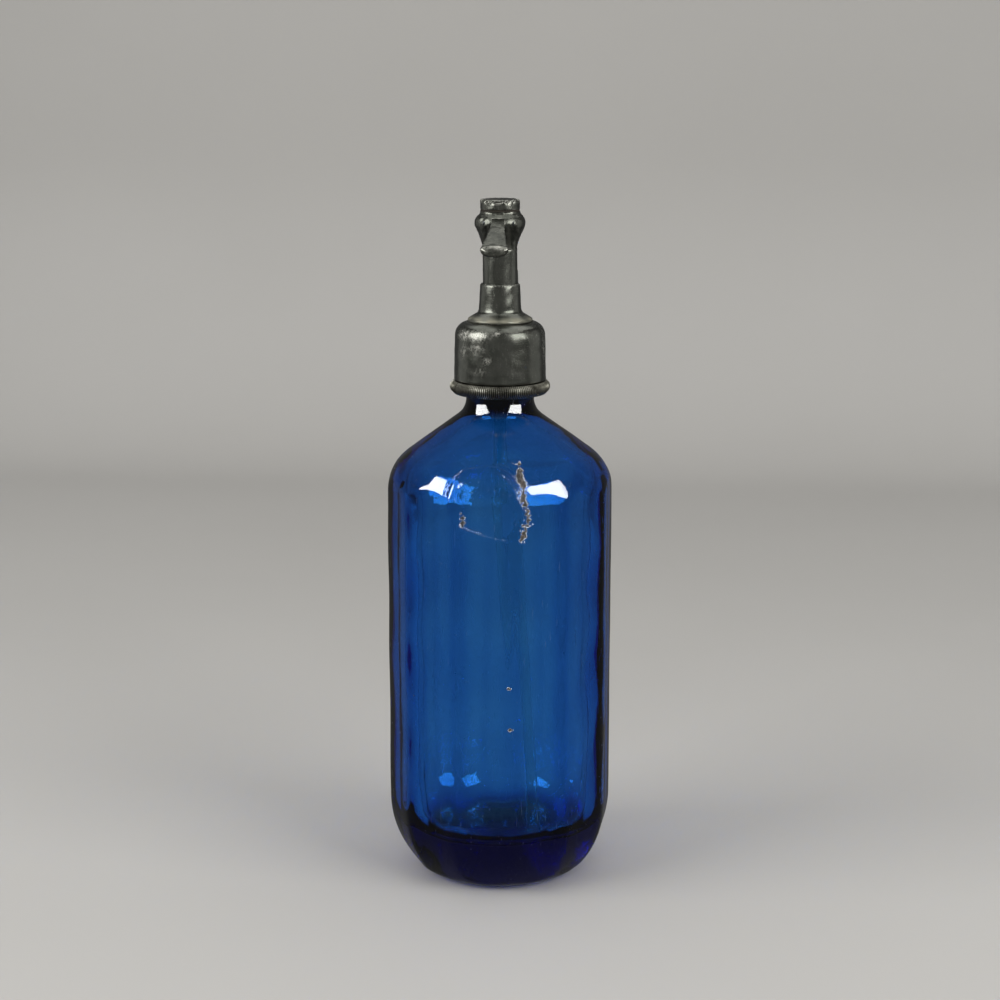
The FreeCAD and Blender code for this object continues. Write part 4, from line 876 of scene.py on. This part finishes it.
# Bites that pliers left on the cap's rim, as (azimuth in degrees, half width in degrees, depth)
CAP_BITES = [
    (-38, 6, 0.35), (-19, 6, 0.7), (0, 12, 0.95), (24, 5, 0.6), (47, 8, 0.8), (76, 5, 0.4), (112, 9, 0.65),
    (150, 6, 0.4), (-168, 8, 0.55), (-131, 5, 0.35), (-96, 9, 0.6), (-66, 5, 0.45),
]
STUB_RADIUS = 6.4
STUB_BORE = 5.3
CAP_ROOF = 1.5  # the thickness of the cap's roof


def cap():
    """Screw cap: rounded rim with bitten notches, plain stub below and hollow underneath."""
    section = outline([
        (0.4, CAP_TOP - CAP_ROOF), (STUB_BORE, CAP_TOP - CAP_ROOF, 0.3), (STUB_BORE, STUB_FOOT, 0.2),
        (STUB_RADIUS, STUB_FOOT, 0.2), (STUB_RADIUS, CAP_FOOT, 0.1), (CAP_RADIUS, CAP_FOOT, 0.3),
        (CAP_RADIUS, CAP_TOP, 1.2), (0.4, CAP_TOP),
    ], 0.32)
    grid = turned(section, even_angles(320))
    azimuth = azimuth_of(grid)
    radius = radius_of(grid)
    from_rim = np.hypot(np.maximum(CAP_RADIUS - radius, 0), np.maximum(CAP_TOP - grid[..., 2], 0))
    near_rim = ridge(from_rim, 0, 1.35) * (grid[..., 2] > CAP_FOOT + 0.4)
    bitten = np.zeros(grid.shape[:2])
    for middle, half_width, depth in CAP_BITES:
        off = (azimuth - middle + 180) % 360 - 180
        bitten += depth * np.clip(1 - (off / half_width) ** 2, 0, 1) ** 0.6
    ragged = 0.2 * np.abs(ripple(grid, 1.3, 42)) + 0.1 * ripple(grid, 2.4, 43)
    skin = (grid[..., 2] > CAP_FOOT + 0.1) & (radius > 0.5)
    dents = -near_rim * (bitten + ragged) - np.where(skin, 0.03 + 0.03 * ripple(grid, 3.5, 44), 0)
    in_front = np.exp(-((azimuth - 4) / 30) ** 6) * skin * (grid[..., 2] > CAP_FOOT + 0.4)
    off_tear = from_rim - 0.55 - 0.3 * ripple(grid, 3, 45)
    tear = in_front * ridge(off_tear, 0, 0.3)
    grid = pushed(grid, False, dents - 0.35 * tear)
    edge = bend_of(grid, False) - 3.5 * tear + 2.0 * in_front * ridge(off_tear, 0.8, 0.4)
    return add_grid("screw_cap", grid, "poles", "cap", ["top_cap"], "pewter", HANDLED_PEWTER, edge=edge)


# Lever

ARM_SLOPE = math.tan(math.radians(22.5))
HUB_RADIUS = 2.0
FINGERTIP_RADIUS = 1.9
NOSE_LENGTH = 2.8
ARM_START = 10.0  # where the arm leaves the bulb and begins to slope
# Width and depth of the arm, at these shares of the way from the pivot to its end
ARM_SHARES = [0, 0.8, 0.84, 0.89, 0.93, 1]
ARM_WIDTHS = [4.6, 10.2, 11.0, 12.2, 12.4, 12.0]
ARM_DEPTHS = [3.6, 4.0, 4.3, 5.2, 5.3, 5.2]


def lever():
    """One bar along Y: boxy finger and hub, then a plate with a bowed belly and a deep thumb lip."""
    bend_start = LEVER_REACH - NOSE_LENGTH
    nose = np.linspace(0, 1, 17)[1:]
    reach = np.concatenate([
        np.linspace(-FINGERTIP_RADIUS, 10.4, 70), np.linspace(10.7, 28, 44),
        np.linspace(28.3, bend_start, 30), bend_start + NOSE_LENGTH * np.sin(nose * math.pi / 2),
    ])
    share = np.clip((reach - PIVOT_REACH) / (LEVER_REACH - PIVOT_REACH), 0, 1)
    arm_width = np.interp(share, ARM_SHARES, ARM_WIDTHS)
    arm_depth = np.interp(share, ARM_SHARES, ARM_DEPTHS)
    sloping = np.clip((reach - ARM_START) / (LEVER_REACH - ARM_START), 0, 1)
    fall = sloping * (LEVER_REACH - PIVOT_REACH) * ARM_SLOPE
    roll = 0.55 * ridge(reach - LEVER_REACH, -1.5, 1.1)
    arm_top = PIVOT_HEIGHT + HUB_RADIUS - fall + roll

    tip = np.sqrt(np.maximum(FINGERTIP_RADIUS ** 2 - reach ** 2, 0.0))
    hub = np.sqrt(np.maximum(HUB_RADIUS ** 2 - (reach - PIVOT_REACH) ** 2, 0.0))
    finger = np.maximum(np.maximum(tip, hub), np.where(reach > 0, 0.7, 0.05))
    on_arm = reach > PIVOT_REACH
    top = np.where(on_arm, arm_top, PIVOT_HEIGHT + finger)
    foot = np.where(on_arm, np.minimum(arm_top - arm_depth, PIVOT_HEIGHT - hub), PIVOT_HEIGHT - finger)
    width = np.where(on_arm, arm_width, np.interp(reach, [0, 6, 6.6], [4.2, 4.2, 4.6]))
    belly = np.clip((reach - PIVOT_REACH - 2) / 4, 0, 1)
    closing = np.ones(len(reach))
    closing[-len(nose):] = 1 - 0.9 * (1 - np.cos(nose * math.pi / 2))
    pebble = np.clip((share - 0.78) / 0.12, 0, 1)

    angles = np.linspace(0, 2 * math.pi, 112, endpoint=False)
    upper = np.sin(angles) >= 0
    depth = top - foot
    split = top - depth * (1 / 2 - belly / 6)
    power = np.where(upper, (7 - 3 * belly - 1.5 * pebble)[:, None], (7 - 4.7 * belly)[:, None])
    side = np.sign(np.cos(angles)) * np.abs(np.cos(angles)) ** (2 / power) * (width / 2)[:, None]
    rise = np.abs(np.sin(angles)) ** (2 / power)
    above = split[:, None] + rise * (top - split)[:, None]
    below = split[:, None] - rise * (split - foot)[:, None]
    level = np.where(upper, above, below)
    middle = ((top + foot) / 2)[:, None]
    side = side * closing[:, None]
    level = middle + (level - middle) * closing[:, None]
    grid = np.stack([side, -reach[:, None] + 0 * side, level], axis=-1)
    handled = np.clip((reach - 12) / 4, 0, 1)[:, None]
    dents = handled * (0.05 * ripple(grid, 5, 51) + 0.03 * ripple(grid, 1.8, 52) - 0.06)
    grid = pushed(grid, False, dents)
    grid[..., 1] = np.maximum(grid[..., 1], -LEVER_REACH)
    on_lip = np.clip((reach - LEVER_REACH + 5) / 1.5, 0, 1)[:, None]
    # Painted shade: the lower face of the lip is darkened
    lip_underside_shade = np.clip((split[:, None] - level) / 0.8, 0, 1)
    # Painted highlight: the top of the lip's roll is painted bright where the lamps shine on it
    rubbed = ridge(reach - LEVER_REACH, -1.3, 0.9)[:, None] * (level > split[:, None])
    edge = bend_of(grid, False) * 0.6 - 1.2 * on_lip * lip_underside_shade + 2.6 * rubbed
    edge = np.clip(edge, -SHARPEST_BEND, SHARPEST_BEND)
    return add_grid("press_lever", grid, "flat", "lever", ["lever"], "pewter", CAST_PEWTER, edge=edge)


# Spout

SPOUT_RADIUS = 4.4
SPOUT_BORE = 2.25
SPOUT_ROOT = (5.0, HEAD_FOOT - 12.0)
SPOUT_CREST = (18.0, HEAD_FOOT + 4.5, 12.5)
SPOUT_CROWN = (35.0, HEAD_FOOT + 1.5, 12.5)
SPOUT_END = (41.0, HEAD_FOOT - 20.0)
SPOUT_SIDE = np.array([1.0, 0.0, 0.0])
SPOUT_SEAT = 7.62  # just off the standpipe's skin
TIP_WALL = 0.77
TIP_LENGTH = 9
TIP_LIP = 2
TIP_BORE = SPOUT_RADIUS + 0.02


def spout():
    """Swan-necked tube behind the standpipe. Its root ring is slid back onto the standpipe's round."""
    flat = outline([SPOUT_ROOT, SPOUT_CREST, SPOUT_CROWN, SPOUT_END], 0.8)
    line = np.stack([0 * flat[:, 0], flat[:, 0], flat[:, 1]], axis=-1)
    grid = tube_shell(line, SPOUT_RADIUS, SPOUT_BORE, SPOUT_SIDE, 72)
    run = unit(line[1] - line[0])
    straight = 12
    rows = len(line)
    for order in (np.arange(straight + 1), 2 * rows - 1 - np.arange(straight + 1)):
        ring = grid[order[0]]
        needed = np.sqrt(np.maximum(SPOUT_SEAT ** 2 - ring[:, 0] ** 2, 0)) - ring[:, 1]
        slide = (needed / run[1])[:, None] * run
        fade = (1 - np.arange(straight + 1) / straight)[:, None, None]
        grid[order] = grid[order] + fade * slide
    outer = pushed(grid, True, 0.03 * ripple(grid, 8, 61) - 0.03)
    grid[straight:rows - 4] = outer[straight:rows - 4]
    return add_grid("swan_spout", grid, "joined", "root", ["spout"], "pewter", PEWTER)


def spout_tip():
    """Turned sleeve on the spout's end, tilted with it, with a thick lip at the mouth."""
    outer = SPOUT_RADIUS + TIP_WALL
    section = outline([
        (SPOUT_BORE, 0, 0.3), (outer, 0, 0.5), (outer, TIP_LENGTH, 0.35), (TIP_BORE, TIP_LENGTH, 0.1),
        (TIP_BORE, TIP_LIP, 0.1), (SPOUT_BORE, TIP_LIP, 0.1),
    ], 0.3, closed=True)
    groove = ridge(section[:, 1], 2.6, 0.3) + ridge(section[:, 1], 7.9, 0.25)
    section[:, 0] -= np.where(section[:, 0] > outer - 0.05, 0.18 * groove, 0)
    grid = turned(section, even_angles(120))
    fall = unit(np.array([SPOUT_END[0] - SPOUT_CROWN[0], SPOUT_END[1] - SPOUT_CROWN[1]]))
    mouth = np.array([0, SPOUT_END[0] + TIP_LIP * fall[0], SPOUT_END[1] + TIP_LIP * fall[1]])
    tilt = math.atan2(fall[0], -fall[1])
    lean = np.array([[1, 0, 0], [0, math.cos(tilt), -math.sin(tilt)], [0, math.sin(tilt), math.cos(tilt)]])
    grid = grid @ lean.T + mouth
    return add_grid("spout_nozzle", grid, "joined", "root", ["spout_tip"], "pewter", HANDLED_PEWTER)


glass_pieces = [bottle(), dip_tube()]
bell()
ring_half("grip_ring_front", "ring_half_front", RING_SEAM)
ring_half("grip_ring_back", "ring_half_back", RING_SEAM + math.pi)
socket()
standpipe()
bulb()
cap()
lever()
spout()
spout_tip()
spring()

# The pieces inside keep their CAD shape and get their own finish
INSIDE = {
    BRASS: [
        "tube_nut", "valve_base", "seat_insert", "valve_cup", "valve_stem", "packing_nut", "spring_plate",
    ],
    STEEL: ["washer_screw", "lever_pin"],
    RUBBER: ["tube_gasket", "neck_gasket", "valve_washer", "neck_washer"],
    FIBRE: ["packing_ring", "cap_washer"],
}
for finish, nodes in INSIDE.items():
    for node in nodes:
        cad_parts[node].data.materials.clear()
        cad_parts[node].data.materials.append(finish)


# Floor, backdrop, lamps and camera

STAGE_REACH = 9000  # how far the floor runs to the front and to both sides
WALL_REACH = 1120
WALL_HEIGHT = 5000
COVE_RADIUS = 260


def stage_finish():
    """Painted board, pale warm grey and quite matt."""
    made, tree, place = new_finish("matt_painted_board")
    cloud = add(tree, "TexNoise", {"Vector": place, "Scale": grain(300), "Detail": 3})
    colour = add(tree, "Mix", {0: cloud, A: linear("#B1AFAB"), B: linear("#B8B6B2")}, data_type="RGBA")
    paint = add(tree, "BsdfPrincipled", {"Base Color": (colour, MIXED), "Roughness": 0.6})
    add(tree, "OutputMaterial", {"Surface": paint})
    return made


def stage_sweep():
    """Floor that turns up through a quarter round into a wall behind the siphon."""
    profile = outline([(-STAGE_REACH, 0), (WALL_REACH, 0, COVE_RADIUS), (WALL_REACH, WALL_HEIGHT)], 30)
    edges = [np.insert(profile, 0, side * STAGE_REACH, axis=1) for side in (-1, 1)]
    points = np.stack(edges, axis=1)
    rows = len(profile)
    index = np.arange(rows * 2).reshape(rows, 2)
    faces = np.stack([index[:-1, 0], index[:-1, 1], index[1:, 1], index[1:, 0]], axis=-1).tolist()
    mesh = bpy.data.meshes.new("floor_and_wall")
    mesh.from_pydata(points.reshape(-1, 3) * METRES, [], faces)
    mesh.shade_smooth()
    mesh.materials.append(stage_finish())
    floor = bpy.data.objects.new("floor_and_wall", mesh)
    bpy.context.scene.collection.objects.link(floor)
    # The floor isn't mirrored, so that the glass stays deep and the metal dark
    floor.visible_glossy = False


def aim(thing, target):
    """Turns a lamp or the camera so that it looks at a point."""
    way = target - thing.location
    thing.rotation_euler = way.to_track_quat("-Z", "Y").to_euler()


def softbox(name, azimuth, elevation, distance, width, tall, watts, receivers):
    """A flat lamp at a bearing and distance from the bottle's middle, which lights only the given things."""
    data = bpy.data.lights.new(name, "AREA")
    data.shape = "RECTANGLE"
    data.size, data.size_y = width, tall
    data.energy = watts
    lamp = bpy.data.objects.new(name, data)
    turn, lift = math.radians(azimuth), math.radians(elevation)
    middle = (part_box("glass_bottle")[0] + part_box("glass_bottle")[1]) / 2
    lamp.location = middle.copy()
    lamp.location.x += distance * math.sin(turn) * math.cos(lift)
    lamp.location.y -= distance * math.cos(turn) * math.cos(lift)
    lamp.location.z += distance * math.sin(lift)
    bpy.context.scene.collection.objects.link(lamp)
    aim(lamp, middle)
    lit = bpy.data.collections.new(name + "_lights")
    for piece in receivers:
        lit.objects.link(piece)
    lamp.light_linking.receiver_collection = lit


stage_sweep()
everything = [one for one in bpy.context.scene.objects if one.type == "MESH"]
not_glass = [one for one in everything if one not in glass_pieces]
# As (name, azimuth and elevation in degrees, distance, width and height in metres, watts, what it lights)
LAMPS = [
    ("softbox_left", -61, 27, 1.3, 0.85, 0.8, 11.5, everything),
    ("softbox_right", 57, 27, 1.3, 0.85, 0.8, 11.5, everything),
    # The ceiling light would veil the glass, so it falls on the rest alone
    ("ceiling_light", 180, 83, 2.1, 3.0, 3.0, 35, not_glass),
    # Pale surroundings: two dim boards beside the bottle and one behind the camera
    ("side_board_left", -105, 5, 1.2, 0.8, 1.2, 1.2, not_glass),
    ("side_board_right", 105, 5, 1.2, 0.8, 1.2, 1.2, not_glass),
    ("front_board", 4.5, 12, 1.7, 2.6, 1.8, 2.5, not_glass),
    # The glass shines back little of what falls on it, so its own pair adds to the squares on its flats
    ("glass_shine_left", -61, 27, 1.33, 0.9, 0.95, 45, glass_pieces),
    ("glass_shine_right", 59, 27, 1.33, 0.95, 0.9, 45, glass_pieces),
]
for lamp_row in LAMPS:
    softbox(*lamp_row)

world = bpy.data.worlds.new("plain_room")
world.use_nodes = True
room = world.node_tree.nodes["Background"]
room.inputs["Color"].default_value = linear("#F2F2F0")
room.inputs["Strength"].default_value = 0.11
bpy.context.scene.world = world

camera_data = bpy.data.cameras.new("photo_camera")
camera_data.sensor_width = 36
camera_data.lens = 75.57
camera = bpy.data.objects.new("photo_camera", camera_data)
camera.location = (0.0721, -0.9166, 0.3695)
camera.rotation_euler = (math.radians(77.826), 0, math.radians(4.5))
bpy.context.scene.collection.objects.link(camera)
bpy.context.scene.camera = camera
bpy.context.scene.view_settings.view_transform = "Standard"
